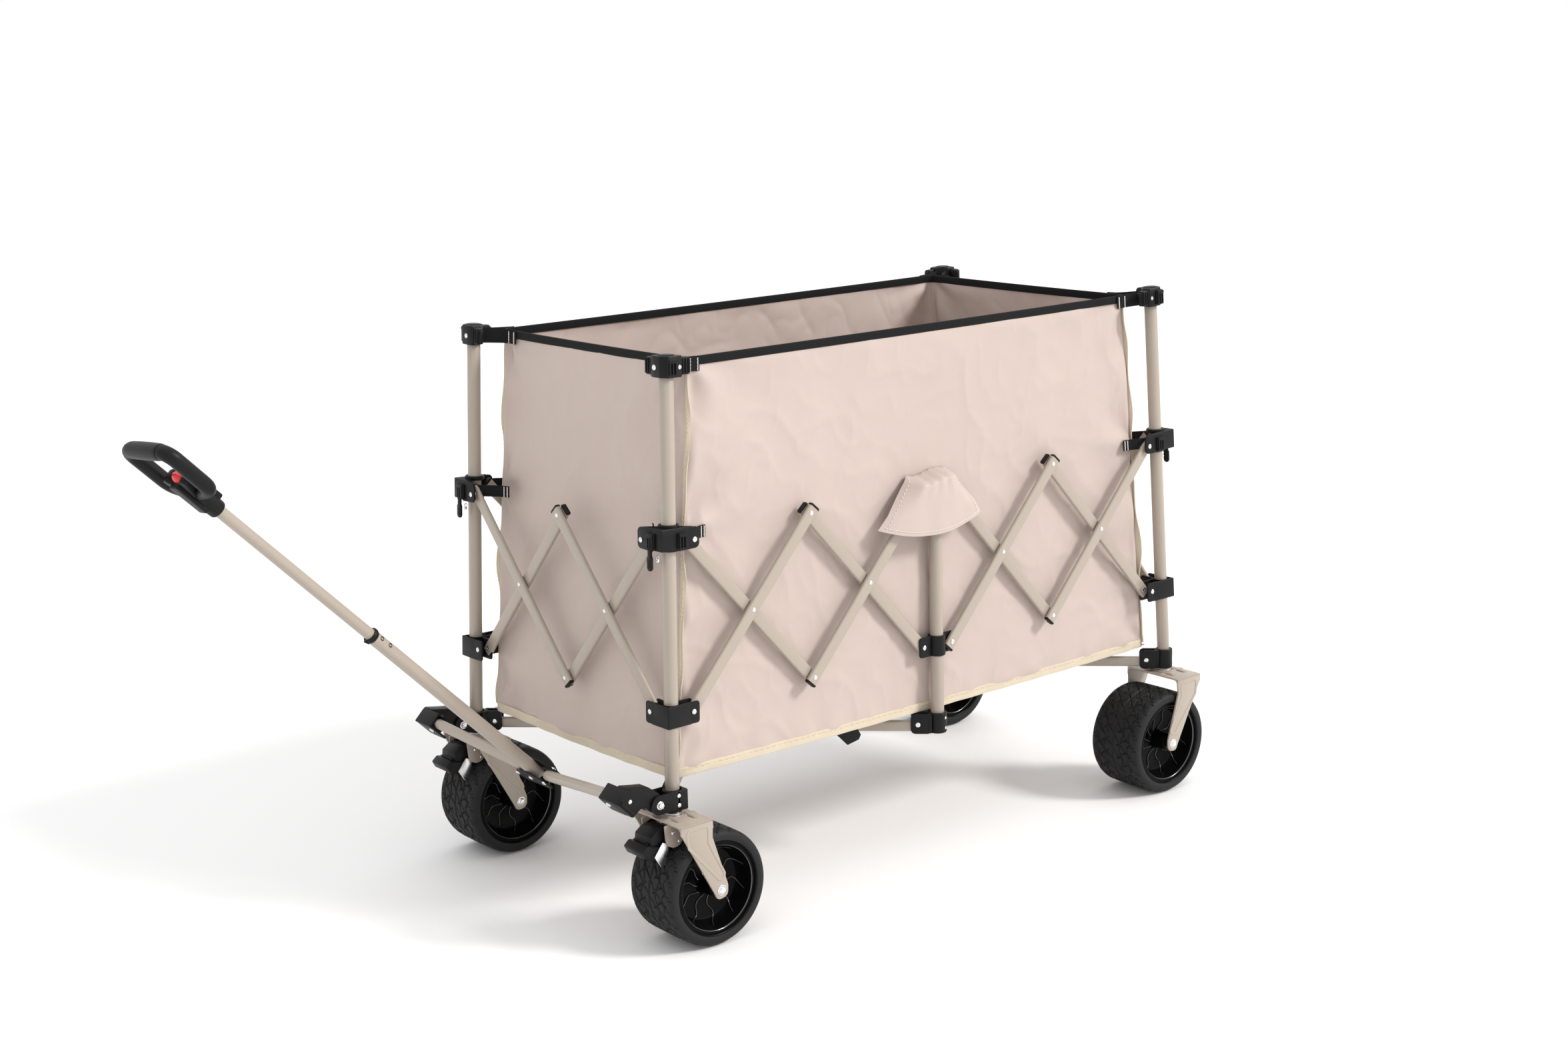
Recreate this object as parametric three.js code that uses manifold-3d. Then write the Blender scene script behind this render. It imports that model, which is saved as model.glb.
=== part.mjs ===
// Folding beach cart: six posts joined by scissor links, a fabric bag, four wide wheels and a pull bar.
// Millimetres, +Z up, the front (pull bar) towards -X, the cart's left side towards -Y.
import * as THREE from 'three';
import { mergeVertices } from 'three/addons/utils/BufferGeometryUtils.js';
import Module from 'manifold-3d';

const wasm = await Module();
wasm.setup();

// ---- driving dimensions ----
const POST = { x: 540, y: 270, radius: 11, midHeight: 492, foot: 207, top: 884, midTop: 652 };
const LEAN = { x: THREE.MathUtils.degToRad(2.5), y: THREE.MathUtils.degToRad(1.2) };
const LATTICE = { low: 355, rise: 264, pitch: 238, earX: 35, earY: 32, midEar: 29 };
const LINK = { width: 20, thickness: 7.5, sideOuter: 274, sideInner: 265, endOuter: 549, endInner: 540 };
const EAR = { side: 281, end: 558, plate: 3, reach: 9 };
const BRACKET = { radius: 15, height: 34, footBottom: 206, footTop: 240 };
const SLIDER = { radius: 14.5, bore: 11.6, height: 36 };
const CAP = { radius: 16, bottom: 862, top: 894, clip: 30 };
const BASE = { height: 218, footReach: 32, hubReach: 66, offset: 8, barHeight: 18, barThickness: 10 };
const WHEEL = { radius: 92, axle: 84, halfWidth: 54, trail: 42, bore: 5.6 };
const FORK = { inner: 56.5, outer: 60.5, crownLow: 194, crownTop: 200, crownHalf: 30, axle: 5, bolt: 65.5 };
const ELBOW = { x: 587, z: 226, yIn: 264, yOut: 288, pinY: 238, pinD: 53, boxIn: 232, hub: 14, end: 66 };
const BAR = { lift: Math.PI / 4, plane: -27, pinY: 38, pinD: 14, halfRadius: 8.5 };
const TUBE = { radius: 11, bore: 9.7, inner: 9.2, end: 404, insideFrom: 330, gripFrom: 722 };
const GRIP = { halfWidth: 48, cross: 868, radius: 12.5, collar: 14, fork: 744 };
const BAG = { low: 244, top: 880, bottomX: 530, bottomY: 252, topX: 479, topY: 246, wall: 3, corner: 25, board: 3 };

const SAND = { color: 0xb9a897, roughness: 0.45, metalness: 0.25 };
const BLACK = { color: 0x1c1c1d, roughness: 0.5, metalness: 0.0 };
const TYRE = { color: 0x222223, roughness: 0.75, metalness: 0.0 };
const FABRIC = { color: 0xcbb5a6, roughness: 0.8, metalness: 0.0 };
const RED = { color: 0xc3161c, roughness: 0.4, metalness: 0.0 };

const SIDES = [-1, 1];
const cart = new THREE.Group();

// ---- solids ----
function solid(geometry) {
  const bare = geometry.index ? geometry.toNonIndexed() : geometry.clone();
  bare.deleteAttribute('normal');
  bare.deleteAttribute('uv');
  const merged = mergeVertices(bare, 1e-4);
  return new wasm.Manifold(new wasm.Mesh({
    numProp: 3,
    vertProperties: new Float32Array(merged.attributes.position.array),
    triVerts: new Uint32Array(merged.index.array),
  }));
}

function geometryOf(manifold) {
  const mesh = manifold.getMesh();
  const geometry = new THREE.BufferGeometry();
  geometry.setAttribute('position', new THREE.BufferAttribute(new Float32Array(mesh.vertProperties), 3));
  geometry.setIndex(new THREE.BufferAttribute(new Uint32Array(mesh.triVerts), 1));
  return geometry;
}

function join(...pieces) {
  return pieces.reduce((total, piece) => total.add(piece));
}

function addMesh(parent, name, geometry, look) {
  const mesh = new THREE.Mesh(geometry, new THREE.MeshStandardMaterial(look));
  mesh.name = name;
  parent.add(mesh);
  return mesh;
}

function box(x0, x1, y0, y1, z0, z1) {
  const geometry = new THREE.BoxGeometry(Math.abs(x1 - x0), Math.abs(y1 - y0), Math.abs(z1 - z0));
  geometry.translate((x0 + x1) / 2, (y0 + y1) / 2, (z0 + z1) / 2);
  return solid(geometry);
}

// a round bar between two points
function rod(from, to, radius, sides = 16) {
  const along = to.clone().sub(from);
  const geometry = new THREE.CylinderGeometry(radius, radius, along.length(), sides);
  geometry.applyQuaternion(new THREE.Quaternion().setFromUnitVectors(
    new THREE.Vector3(0, 1, 0), along.clone().normalize()));
  const middle = from.clone().add(to).multiplyScalar(0.5);
  geometry.translate(middle.x, middle.y, middle.z);
  return solid(geometry);
}

const rodZ = (x, y, z0, z1, radius, sides) =>
  rod(new THREE.Vector3(x, y, z0), new THREE.Vector3(x, y, z1), radius, sides);
const rodY = (x, z, y0, y1, radius, sides) =>
  rod(new THREE.Vector3(x, y0, z), new THREE.Vector3(x, y1, z), radius, sides);

// an outline in the XZ plane, extruded along Y from y0 to y1
function slabXZ(shape, y0, y1) {
  const depth = Math.abs(y1 - y0);
  const geometry = new THREE.ExtrudeGeometry(shape, { depth, bevelEnabled: false, curveSegments: 6 });
  geometry.rotateX(Math.PI / 2);
  geometry.translate(0, Math.max(y0, y1), 0);
  return solid(geometry);
}

// a strip with round ends, from the origin along +X
function stripShape(length, width) {
  const shape = new THREE.Shape();
  shape.moveTo(0, -width / 2);
  shape.lineTo(length, -width / 2);
  shape.absarc(length, 0, width / 2, -Math.PI / 2, Math.PI / 2, false);
  shape.lineTo(0, width / 2);
  shape.absarc(0, 0, width / 2, Math.PI / 2, 3 * Math.PI / 2, false);
  return shape;
}

// ---- posts: each one is built upright about its own axis, then leaned towards the cart's middle ----
function postFrame(sx, sy) {
  const frame = new THREE.Group();
  frame.position.set(sx * POST.x, sy * POST.y, POST.midHeight);
  frame.rotation.set(sy * LEAN.y, -sx * LEAN.x, 0);
  cart.add(frame);
  return frame;
}

// distance inwards that a leaning axis has moved at a height above the lattice's middle
const leanShift = (z, angle) => (z - POST.midHeight) * Math.tan(angle);

// a collar with one plate outside the side links and one outside the end links
function cornerCollar(sx, sy, z, height, radius) {
  const h = z - POST.midHeight;
  const sideFace = EAR.side - POST.y + leanShift(z, LEAN.y);
  const endFace = EAR.end - POST.x + leanShift(z, LEAN.x);
  const reachX = LATTICE.earX + EAR.reach;
  const reachY = LATTICE.earY + EAR.reach;
  const [low, high] = [h - height / 2, h + height / 2];
  return join(
    rodZ(0, 0, low, high, radius, 16),
    box(-sx * reachX, sx * 6, sy * sideFace, sy * (sideFace + EAR.plate), low, high),
    box(-sx * 8, sx * 6, 0, sy * (sideFace + EAR.plate), low, high),
    box(sx * endFace, sx * (endFace + EAR.plate), -sy * reachY, sy * 6, low, high),
    box(0, sx * (endFace + EAR.plate), -sy * 8, sy * 6, low, high),
  );
}

// the ear beside a base bar: it points from the post's foot to the hub, on one side of the bar
function footEar(angle) {
  const low = BRACKET.footBottom;
  const ear = new THREE.BoxGeometry(BASE.footReach + 9, 4, BRACKET.footTop - low);
  ear.translate((BASE.footReach + 9) / 2, 0, (low + BRACKET.footTop) / 2);
  ear.rotateZ(angle);
  return ear;
}

function footPlace(sx, sy) {
  const x = sx * (POST.x - leanShift(BASE.height, LEAN.x));
  const y = sx === 0 ? sy * POST.y : sy * (POST.y - leanShift(BASE.height, LEAN.y));
  return new THREE.Vector2(x, y);
}

const HUB_X = (POST.x - leanShift(BASE.height, LEAN.x)) / 2;

function footBracket(sx, sy) {
  const foot = footPlace(sx, sy);
  let solids = rodZ(foot.x, foot.y, BRACKET.footBottom, BRACKET.footTop, BRACKET.radius, 16);
  for (const hub of sx === 0 ? [-1, 1] : [sx]) {
    const ear = footEar(Math.atan2(-foot.y, hub * HUB_X - foot.x));
    ear.translate(foot.x, foot.y, 0);
    solids = solids.add(solid(ear));
  }
  return solids;
}

// two cheeks that carry the pull bar's elbow, in front of each front foot
function elbowCheeks(sy) {
  const [low, high] = [BRACKET.footBottom + 5, BRACKET.footTop + 1];
  const front = -ELBOW.x - 15;
  const back = -ELBOW.x + 38;
  return join(
    box(front, back, sy * (ELBOW.yIn - 5), sy * (ELBOW.yIn - 1.5), low, high),
    box(front, back, sy * (ELBOW.yOut + 1.5), sy * (ELBOW.yOut + 5), low, high),
  );
}

// legs, crown and axle of a wheel fork under the foot of a post; dir is where the wheel trails
function fork(sx, sy) {
  const foot = footPlace(sx, sy);
  const wheelX = foot.x - sx * WHEEL.trail;
  const out = sx * FORK.crownHalf;
  const leg = new THREE.Shape();
  leg.moveTo(foot.x + out, FORK.crownTop);
  leg.lineTo(foot.x + out * 0.8, FORK.crownTop - 34);
  leg.lineTo(wheelX + sx * 13, WHEEL.axle + 4);
  leg.absarc(wheelX, WHEEL.axle, 13, sx > 0 ? 0 : Math.PI, sx > 0 ? -Math.PI : 2 * Math.PI, sx > 0);
  leg.lineTo(foot.x - out, FORK.crownTop - 30);
  leg.lineTo(foot.x - out, FORK.crownTop);
  leg.closePath();
  let solids = join(
    box(foot.x - FORK.crownHalf, foot.x + FORK.crownHalf, foot.y - FORK.outer, foot.y + FORK.outer,
      FORK.crownLow, FORK.crownTop),
    rodY(wheelX, WHEEL.axle, foot.y - FORK.bolt, foot.y + FORK.bolt, FORK.axle, 10),
  );
  for (const side of SIDES) {
    solids = solids.add(slabXZ(leg, foot.y + side * FORK.inner, foot.y + side * FORK.outer));
    const head = rodY(wheelX, WHEEL.axle, foot.y + side * FORK.outer, foot.y + side * FORK.bolt, 8, 10);
    solids = solids.add(head);
  }
  return solids;
}

function capSolid(sx, sy) {
  const low = CAP.bottom - POST.midHeight;
  const high = CAP.top - POST.midHeight;
  return join(
    rodZ(0, 0, low, high, CAP.radius, 16),
    box(0, -sx * CAP.clip, -sy * 2, -sy * 12, low + 6, high - 4),
    box(-sx * 2, -sx * 12, 0, -sy * CAP.clip, low + 6, high - 4),
  );
}

function inverseOf(frame) {
  frame.updateMatrix();
  return frame.matrix.clone().invert();
}

// moves a solid made in the cart's frame into a post's frame
function into(frame, manifold) {
  const geometry = geometryOf(manifold);
  geometry.applyMatrix4(inverseOf(frame));
  return solid(geometry);
}

function cornerPost(name, sx, sy) {
  const frame = postFrame(sx, sy);
  const tube = rodZ(0, 0, POST.foot - POST.midHeight, POST.top - POST.midHeight, POST.radius, 14);
  let post = join(
    tube,
    cornerCollar(sx, sy, LATTICE.low, BRACKET.height, BRACKET.radius),
    capSolid(sx, sy),
    into(frame, footBracket(sx, sy)),
  );
  if (sx < 0) {
    post = post.add(into(frame, elbowCheeks(sy)));
  } else {
    const foot = footPlace(sx, sy);
    const weld = rodZ(foot.x, foot.y, FORK.crownTop - 1, BRACKET.footBottom + 1, POST.radius, 14);
    post = post.add(into(frame, fork(sx, sy).add(weld)));
  }
  addMesh(frame, name, geometryOf(post), SAND);
  return frame;
}

function cornerSlider(name, sx, sy, frame) {
  const z = LATTICE.low + LATTICE.rise;
  const h = z - POST.midHeight;
  const bore = rodZ(0, 0, h - SLIDER.height, h + SLIDER.height, SLIDER.bore, 14);
  const body = cornerCollar(sx, sy, z, SLIDER.height, SLIDER.radius).subtract(bore);
  addMesh(frame, name, geometryOf(body), BLACK);
}

function midPost(name, sy) {
  const reach = LATTICE.midEar + EAR.reach;
  const [low, high] = [LATTICE.low - BRACKET.height / 2, LATTICE.low + BRACKET.height / 2];
  const post = join(
    rodZ(0, sy * POST.y, POST.foot, POST.midTop, POST.radius, 14),
    rodZ(0, sy * POST.y, low, high, BRACKET.radius - 1, 14),
    box(-12, 12, sy * POST.y, sy * (EAR.side + EAR.plate), low, high),
    box(-reach, reach, sy * EAR.side, sy * (EAR.side + EAR.plate), low, high),
    footBracket(0, sy),
  );
  addMesh(cart, name, geometryOf(post), SAND);
}

// ---- scissor links ----
const linkLength = Math.hypot(LATTICE.pitch, LATTICE.rise);
const linkAngle = Math.atan2(LATTICE.rise, LATTICE.pitch);
const linkGeometry = new THREE.ExtrudeGeometry(stripShape(linkLength, LINK.width),
  { depth: LINK.thickness, bevelEnabled: false, curveSegments: 4 }).translate(0, 0, -LINK.thickness / 2);

// a link in a vertical plane, from its lower end; dir is +1 where it rises along the plane's own +X
function addLink(plane, name, u, dir, depth) {
  const mesh = addMesh(plane, name, linkGeometry, SAND);
  mesh.position.set(u, LATTICE.low, depth);
  mesh.rotation.z = dir > 0 ? linkAngle : Math.PI - linkAngle;
}

// a pair that crosses between two columns: the rising link is in the outer layer
function addPair(plane, name, uLow, outer, inner) {
  addLink(plane, `${name}_rising`, uLow, 1, outer);
  addLink(plane, `${name}_falling`, uLow + LATTICE.pitch, -1, inner);
}

function sideLattice(label, sy) {
  const plane = new THREE.Group();
  plane.rotation.x = Math.PI / 2;
  cart.add(plane);
  const starts = [-LATTICE.midEar - 2 * LATTICE.pitch, -LATTICE.midEar - LATTICE.pitch,
    LATTICE.midEar, LATTICE.midEar + LATTICE.pitch];
  starts.forEach((u, index) => {
    addPair(plane, `link_${label}_${index + 1}`, u, -sy * LINK.sideOuter, -sy * LINK.sideInner);
  });
}

function endLattice(label, sx) {
  const plane = new THREE.Group();
  plane.rotation.set(Math.PI / 2, 0, Math.PI / 2, 'ZYX');
  cart.add(plane);
  [-LATTICE.pitch, 0].forEach((u, index) => {
    addPair(plane, `link_${label}_${index + 1}`, u, sx * LINK.endOuter, sx * LINK.endInner);
  });
}

// ---- base: two hubs, each with four bars to the feet around it ----
const barShape = (length) => new THREE.ExtrudeGeometry(stripShape(length, BASE.barHeight),
  { depth: BASE.barThickness, bevelEnabled: false, curveSegments: 4 });

function baseBar(name, sx, foot) {
  const toHub = new THREE.Vector2(sx * HUB_X, 0).sub(foot);
  const length = toHub.length() - BASE.footReach - BASE.hubReach;
  const pivot = new THREE.Group();
  pivot.position.set(foot.x, foot.y, BASE.height);
  pivot.rotation.z = Math.atan2(toHub.y, toHub.x);
  cart.add(pivot);
  const bar = addMesh(pivot, name, barShape(length), SAND);
  bar.rotation.x = Math.PI / 2;
  bar.position.set(BASE.footReach, BASE.offset + BASE.barThickness / 2, 0);
}

function baseHub(name, sx, feet) {
  let hub = rodZ(sx * HUB_X, 0, BASE.height - 9, BASE.height + 9, 20, 16);
  for (const foot of feet) {
    const arm = new THREE.BoxGeometry(BASE.hubReach + 9, 7, 14);
    arm.translate((BASE.hubReach + 9) / 2, 5.6, BASE.height);
    arm.rotateZ(Math.atan2(foot.y, foot.x - sx * HUB_X));
    arm.translate(sx * HUB_X, 0, 0);
    hub = hub.add(solid(arm));
  }
  addMesh(cart, name, geometryOf(hub), BLACK);
}

function base(label, sx) {
  const corners = { left: [sx, -1], right: [sx, 1], mid_left: [0, -1], mid_right: [0, 1] };
  const feet = Object.values(corners).map(([ex, ey]) => footPlace(ex, ey));
  Object.keys(corners).forEach((key, index) => baseBar(`base_bar_${label}_${key}`, sx, feet[index]));
  baseHub(`base_hub_${label}`, sx, feet);
}

// ---- wheels and casters ----
function wheelGeometry() {
  const w = WHEEL.halfWidth;
  const r = WHEEL.radius;
  const half = [[WHEEL.bore, w - 1], [14, w - 1], [15, 14], [r - 23, 10], [r - 21, w - 4], [r - 16, w - 1],
    [r - 8, w], [r - 2, w - 7], [r, w - 16]];
  const mirrored = half.map(([x, y]) => [x, -y]).reverse();
  const outline = [...half, ...mirrored, half[0]].map(([x, y]) => new THREE.Vector2(x, -y));
  return new THREE.LatheGeometry(outline, 20);
}

function wheel(name, sx, sy) {
  const foot = footPlace(sx, sy);
  const mesh = addMesh(cart, name, wheelGeometry(), TYRE);
  mesh.position.set(foot.x - sx * WHEEL.trail, foot.y, WHEEL.axle);
}

const PEDAL = { pivotX: 580, pivotZ: 181, half: 25 };

function caster(label, sy) {
  const foot = footPlace(-1, sy);
  let solids = fork(-1, sy).add(rodZ(foot.x, foot.y, FORK.crownTop - 1, BRACKET.footBottom - 0.4, 13, 14));
  for (const side of SIDES) {
    const inner = foot.y + side * (PEDAL.half + 1.5);
    solids = solids.add(box(-PEDAL.pivotX - 10, -PEDAL.pivotX + 16, inner, inner + side * 4,
      PEDAL.pivotZ - 9, FORK.crownLow + 2));
  }
  addMesh(cart, `caster_${label}`, geometryOf(solids), SAND);
}

function brakePedal(label, sy) {
  const foot = footPlace(-1, sy);
  const outline = new THREE.Shape();
  outline.moveTo(-574, 189);
  outline.lineTo(-602, 189);
  outline.quadraticCurveTo(-622, 184, -634, 168);
  outline.lineTo(-628, 159);
  outline.lineTo(-592, 150);
  outline.quadraticCurveTo(-574, 160, -574, 176);
  outline.closePath();
  const pedal = slabXZ(outline, foot.y - PEDAL.half, foot.y + PEDAL.half);
  addMesh(cart, `brake_pedal_${label}`, geometryOf(pedal), BLACK);
}

// ---- pull bar: local +X runs up along the bar, local +Z is square to its plane, local +Y is the left ----
const pull = new THREE.Group();
pull.position.set(-ELBOW.x, 0, ELBOW.z);
pull.rotation.y = BAR.lift;
cart.add(pull);
const barFrame = new THREE.Group();
barFrame.rotation.z = Math.PI;
pull.add(barFrame);

function elbow(name, side) {
  const arm = new THREE.Shape();
  arm.moveTo(0, ELBOW.hub);
  arm.absarc(0, 0, ELBOW.hub, Math.PI / 2, -Math.PI / 2, false);
  arm.lineTo(22, -20);
  arm.lineTo(26, BAR.plane - 13);
  arm.lineTo(ELBOW.end - 2, BAR.plane - 13);
  arm.lineTo(ELBOW.end, BAR.plane + 13);
  arm.lineTo(33, 11);
  arm.closePath();
  const plates = [BAR.plane - 13, BAR.plane + 10].map((z) =>
    box(28, ELBOW.end - 2, side * ELBOW.boxIn, side * (ELBOW.yIn + 4), z, z + 3));
  const front = box(ELBOW.end - 3, ELBOW.end, side * ELBOW.boxIn, side * (ELBOW.yIn + 4),
    BAR.plane - 13, BAR.plane + 13);
  const body = join(slabXZ(arm, side * ELBOW.yIn, side * ELBOW.yOut), ...plates, front);
  addMesh(barFrame, name, geometryOf(body), BLACK);
}

function halfBar(name, side) {
  const mesh = addMesh(barFrame, name, geometryOf(rod(
    new THREE.Vector3(ELBOW.pinD, side * ELBOW.pinY, BAR.plane),
    new THREE.Vector3(BAR.pinD, side * BAR.pinY, BAR.plane), BAR.halfRadius, 14)), SAND);
  return mesh;
}

const alongBar = (from, to, radius, sides = 14) =>
  rod(new THREE.Vector3(from, 0, BAR.plane), new THREE.Vector3(to, 0, BAR.plane), radius, sides);

function lowerTube() {
  const flanges = [BAR.plane - 12.5, BAR.plane + 9.5].map((z) =>
    box(0, 28, -BAR.pinY - 8, BAR.pinY + 8, z, z + 3));
  const tube = alongBar(4, TUBE.end, TUBE.radius);
  const sleeve = alongBar(TUBE.end - 7, TUBE.end, TUBE.radius + 1.5);
  const bore = alongBar(24, TUBE.end + 1, TUBE.bore);
  const body = join(tube, sleeve).subtract(bore);
  addMesh(barFrame, 'pull_tube_lower', geometryOf(join(body, ...flanges)), SAND);
}

function gripLoop() {
  const w = GRIP.halfWidth;
  const { cross, fork: start } = GRIP;
  const corners = [[start + 20, -12], [start + 54, -w + 8], [start + 92, -w], [cross - 6, -w + 4],
    [cross, -w + 18], [cross, w - 18], [cross - 6, w - 4], [start + 92, w], [start + 54, w - 8], [start + 20, 12]];
  const path = new THREE.CatmullRomCurve3(corners.map(([x, y]) => new THREE.Vector3(x, y, BAR.plane)),
    false, 'centripetal');
  const section = new THREE.Shape().absarc(0, 0, GRIP.radius, 0, 2 * Math.PI, false);
  return solid(new THREE.ExtrudeGeometry(section, { steps: 22, extrudePath: path, curveSegments: 4 }));
}

function upperTube() {
  const neck = box(GRIP.fork, GRIP.fork + 43, -21, 21, BAR.plane - 12, BAR.plane + 12);
  const pocket = alongBar(GRIP.fork + 30, GRIP.fork + 62, 8.2, 12);
  const body = join(
    alongBar(TUBE.insideFrom, GRIP.fork - 3, TUBE.inner),
    alongBar(TUBE.gripFrom, GRIP.fork + 12, GRIP.collar),
    gripLoop(),
    neck,
  ).subtract(pocket);
  addMesh(barFrame, 'pull_tube_upper', geometryOf(body), BLACK);
}

function gripButton() {
  addMesh(barFrame, 'grip_button', geometryOf(alongBar(GRIP.fork + 35, GRIP.fork + 52, 7.6, 12)), RED);
}

// ---- bag: an open-topped shell of fabric with rounded corners and a stiff board on its floor ----
function ring(halfX, halfY, radius, z) {
  const points = [];
  for (let corner = 0; corner < 4; corner += 1) {
    const cx = (corner === 0 || corner === 3 ? 1 : -1) * (halfX - radius);
    const cy = (corner < 2 ? 1 : -1) * (halfY - radius);
    for (let step = 0; step <= 4; step += 1) {
      const angle = (corner + step / 4) * Math.PI / 2;
      points.push([cx + radius * Math.cos(angle), cy + radius * Math.sin(angle), z]);
    }
  }
  return points;
}

function bag() {
  const { wall, corner } = BAG;
  const rings = [
    ring(BAG.bottomX, BAG.bottomY, corner, BAG.low),
    ring(BAG.topX, BAG.topY, corner, BAG.top),
    ring(BAG.topX - wall, BAG.topY - wall, corner - wall, BAG.top),
    ring(BAG.bottomX - wall, BAG.bottomY - wall, corner - wall, BAG.low + wall),
    ring(BAG.topX - wall - 8, BAG.topY - wall - 8, corner - wall, BAG.low + wall),
    ring(BAG.topX - wall - 8, BAG.topY - wall - 8, corner - wall, BAG.low + wall + BAG.board),
  ];
  const count = rings[0].length;
  const index = [];
  for (let level = 0; level < rings.length - 1; level += 1) {
    for (let i = 0; i < count; i += 1) {
      const [a, b] = [level * count + i, level * count + (i + 1) % count];
      index.push(a, b, b + count, a, b + count, a + count);
    }
  }
  const last = (rings.length - 1) * count;
  for (let i = 1; i < count - 1; i += 1) {
    index.push(0, i + 1, i, last, last + i, last + i + 1);
  }
  const geometry = new THREE.BufferGeometry();
  geometry.setAttribute('position', new THREE.BufferAttribute(new Float32Array(rings.flat(2)), 3));
  geometry.setIndex(index);
  addMesh(cart, 'bag', geometry, FABRIC);
}

// ---- assembly ----
for (const [endLabel, sx] of [['front', -1], ['rear', 1]]) {
  for (const [sideLabel, sy] of [['left', -1], ['right', 1]]) {
    const frame = cornerPost(`post_${endLabel}_${sideLabel}`, sx, sy);
    cornerSlider(`slider_${endLabel}_${sideLabel}`, sx, sy, frame);
    wheel(`wheel_${endLabel}_${sideLabel}`, sx, sy);
  }
  endLattice(endLabel, sx);
  base(endLabel, sx);
}
for (const [label, sy] of [['left', -1], ['right', 1]]) {
  midPost(`post_mid_${label}`, sy);
  sideLattice(label, sy);
  caster(label, sy);
  brakePedal(label, sy);
  elbow(`pull_elbow_${label}`, -sy);
  halfBar(`pull_half_bar_${label}`, -sy);
}
lowerTube();
upperTube();
gripButton();
bag();

// the cart stands on z = 0, with the middle of the whole object's box over the origin
cart.updateMatrixWorld(true);
const extent = new THREE.Box3().setFromObject(cart, true);
cart.position.x = -(extent.min.x + extent.max.x) / 2;
cart.position.z = -extent.min.z;

export default cart;
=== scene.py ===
# Beach cart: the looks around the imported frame. Lengths are in millimetres in the cart's own
# frame (its origin is under the middle of the four posts, LIFT above the ground) until a mesh is made.
import math

import bpy
from mathutils import Matrix, Vector, noise


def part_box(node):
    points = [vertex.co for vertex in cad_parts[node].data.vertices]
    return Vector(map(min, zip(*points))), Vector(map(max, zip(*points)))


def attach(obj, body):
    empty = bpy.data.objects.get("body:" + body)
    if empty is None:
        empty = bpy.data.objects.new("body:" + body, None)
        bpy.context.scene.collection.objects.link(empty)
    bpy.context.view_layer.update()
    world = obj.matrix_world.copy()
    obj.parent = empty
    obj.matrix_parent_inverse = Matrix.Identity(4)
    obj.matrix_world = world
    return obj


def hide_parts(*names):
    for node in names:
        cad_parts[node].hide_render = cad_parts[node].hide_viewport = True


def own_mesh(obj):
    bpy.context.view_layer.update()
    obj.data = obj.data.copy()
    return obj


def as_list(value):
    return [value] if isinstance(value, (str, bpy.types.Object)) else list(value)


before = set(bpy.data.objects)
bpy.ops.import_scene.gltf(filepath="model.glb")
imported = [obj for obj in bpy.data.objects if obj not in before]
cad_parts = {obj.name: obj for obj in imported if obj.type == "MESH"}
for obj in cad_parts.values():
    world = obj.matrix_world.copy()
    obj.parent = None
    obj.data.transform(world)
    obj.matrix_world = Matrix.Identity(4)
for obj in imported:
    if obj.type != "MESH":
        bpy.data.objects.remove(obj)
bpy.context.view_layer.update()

MM = 0.001
SIDES = (("left", -1), ("right", 1))
ENDS = (("front", -1), ("rear", 1))

# ---- the frame's driving dimensions ----
POST_X, POST_Y, POST_R, MID_Z, TOP_Z = 540, 270, 11, 492, 884
LEAN_X, LEAN_Y = math.radians(2.5), math.radians(1.2)
LOW_Z, RISE, PITCH, EAR_X, EAR_Y, MID_EAR = 355, 264, 238, 35, 32, 29
SIDE_OUT, SIDE_IN, END_OUT, END_IN = 274, 265, 549, 540
BASE_Z, AXLE, TRAIL, FORK_IN, FORK_OUT = 218, 84, 42, 56.5, 60.5
ELBOW_X, ELBOW_Z, PLANE = 587, 226, -27
BAG_X0, BAG_Y0, BAG_X1, BAG_Y1 = 530, 252, 479, 246
BAG_Z0, BAG_Z1 = 245, 882
FOLD_X, FOLD_Y = 252.28, 126.14
CORNER_R, THICK = 18.0, 1.2
HIGH_Z = LOW_Z + RISE
THETA = math.atan2(RISE, PITCH)
LINK = math.hypot(RISE, PITCH)

MIDDLE = (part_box("base_hub_front")[0].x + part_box("base_hub_rear")[1].x) / 2
LIFT = (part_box("wheel_rear_left")[0].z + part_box("wheel_rear_left")[1].z) / 2 - AXLE * MM
TO_ROW = Matrix.Translation((MIDDLE, 0, LIFT)) @ Matrix.Scale(MM, 4)
SLOT = {}


# ---- materials ----
def node(m, kind, **numbers):
    """Adds a node to a material; an underscore stands for the space in a socket's name."""
    made = m.node_tree.nodes.new("ShaderNode" + kind)
    for name, number in numbers.items():
        made.inputs[name.replace("_", " ")].default_value = number
    return made


def wire(m, *wires):
    """Links sockets, each given as (node, output, node, input)."""
    for source, output, target, socket in wires:
        m.node_tree.links.new(source.outputs[output], target.inputs[socket])


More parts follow.
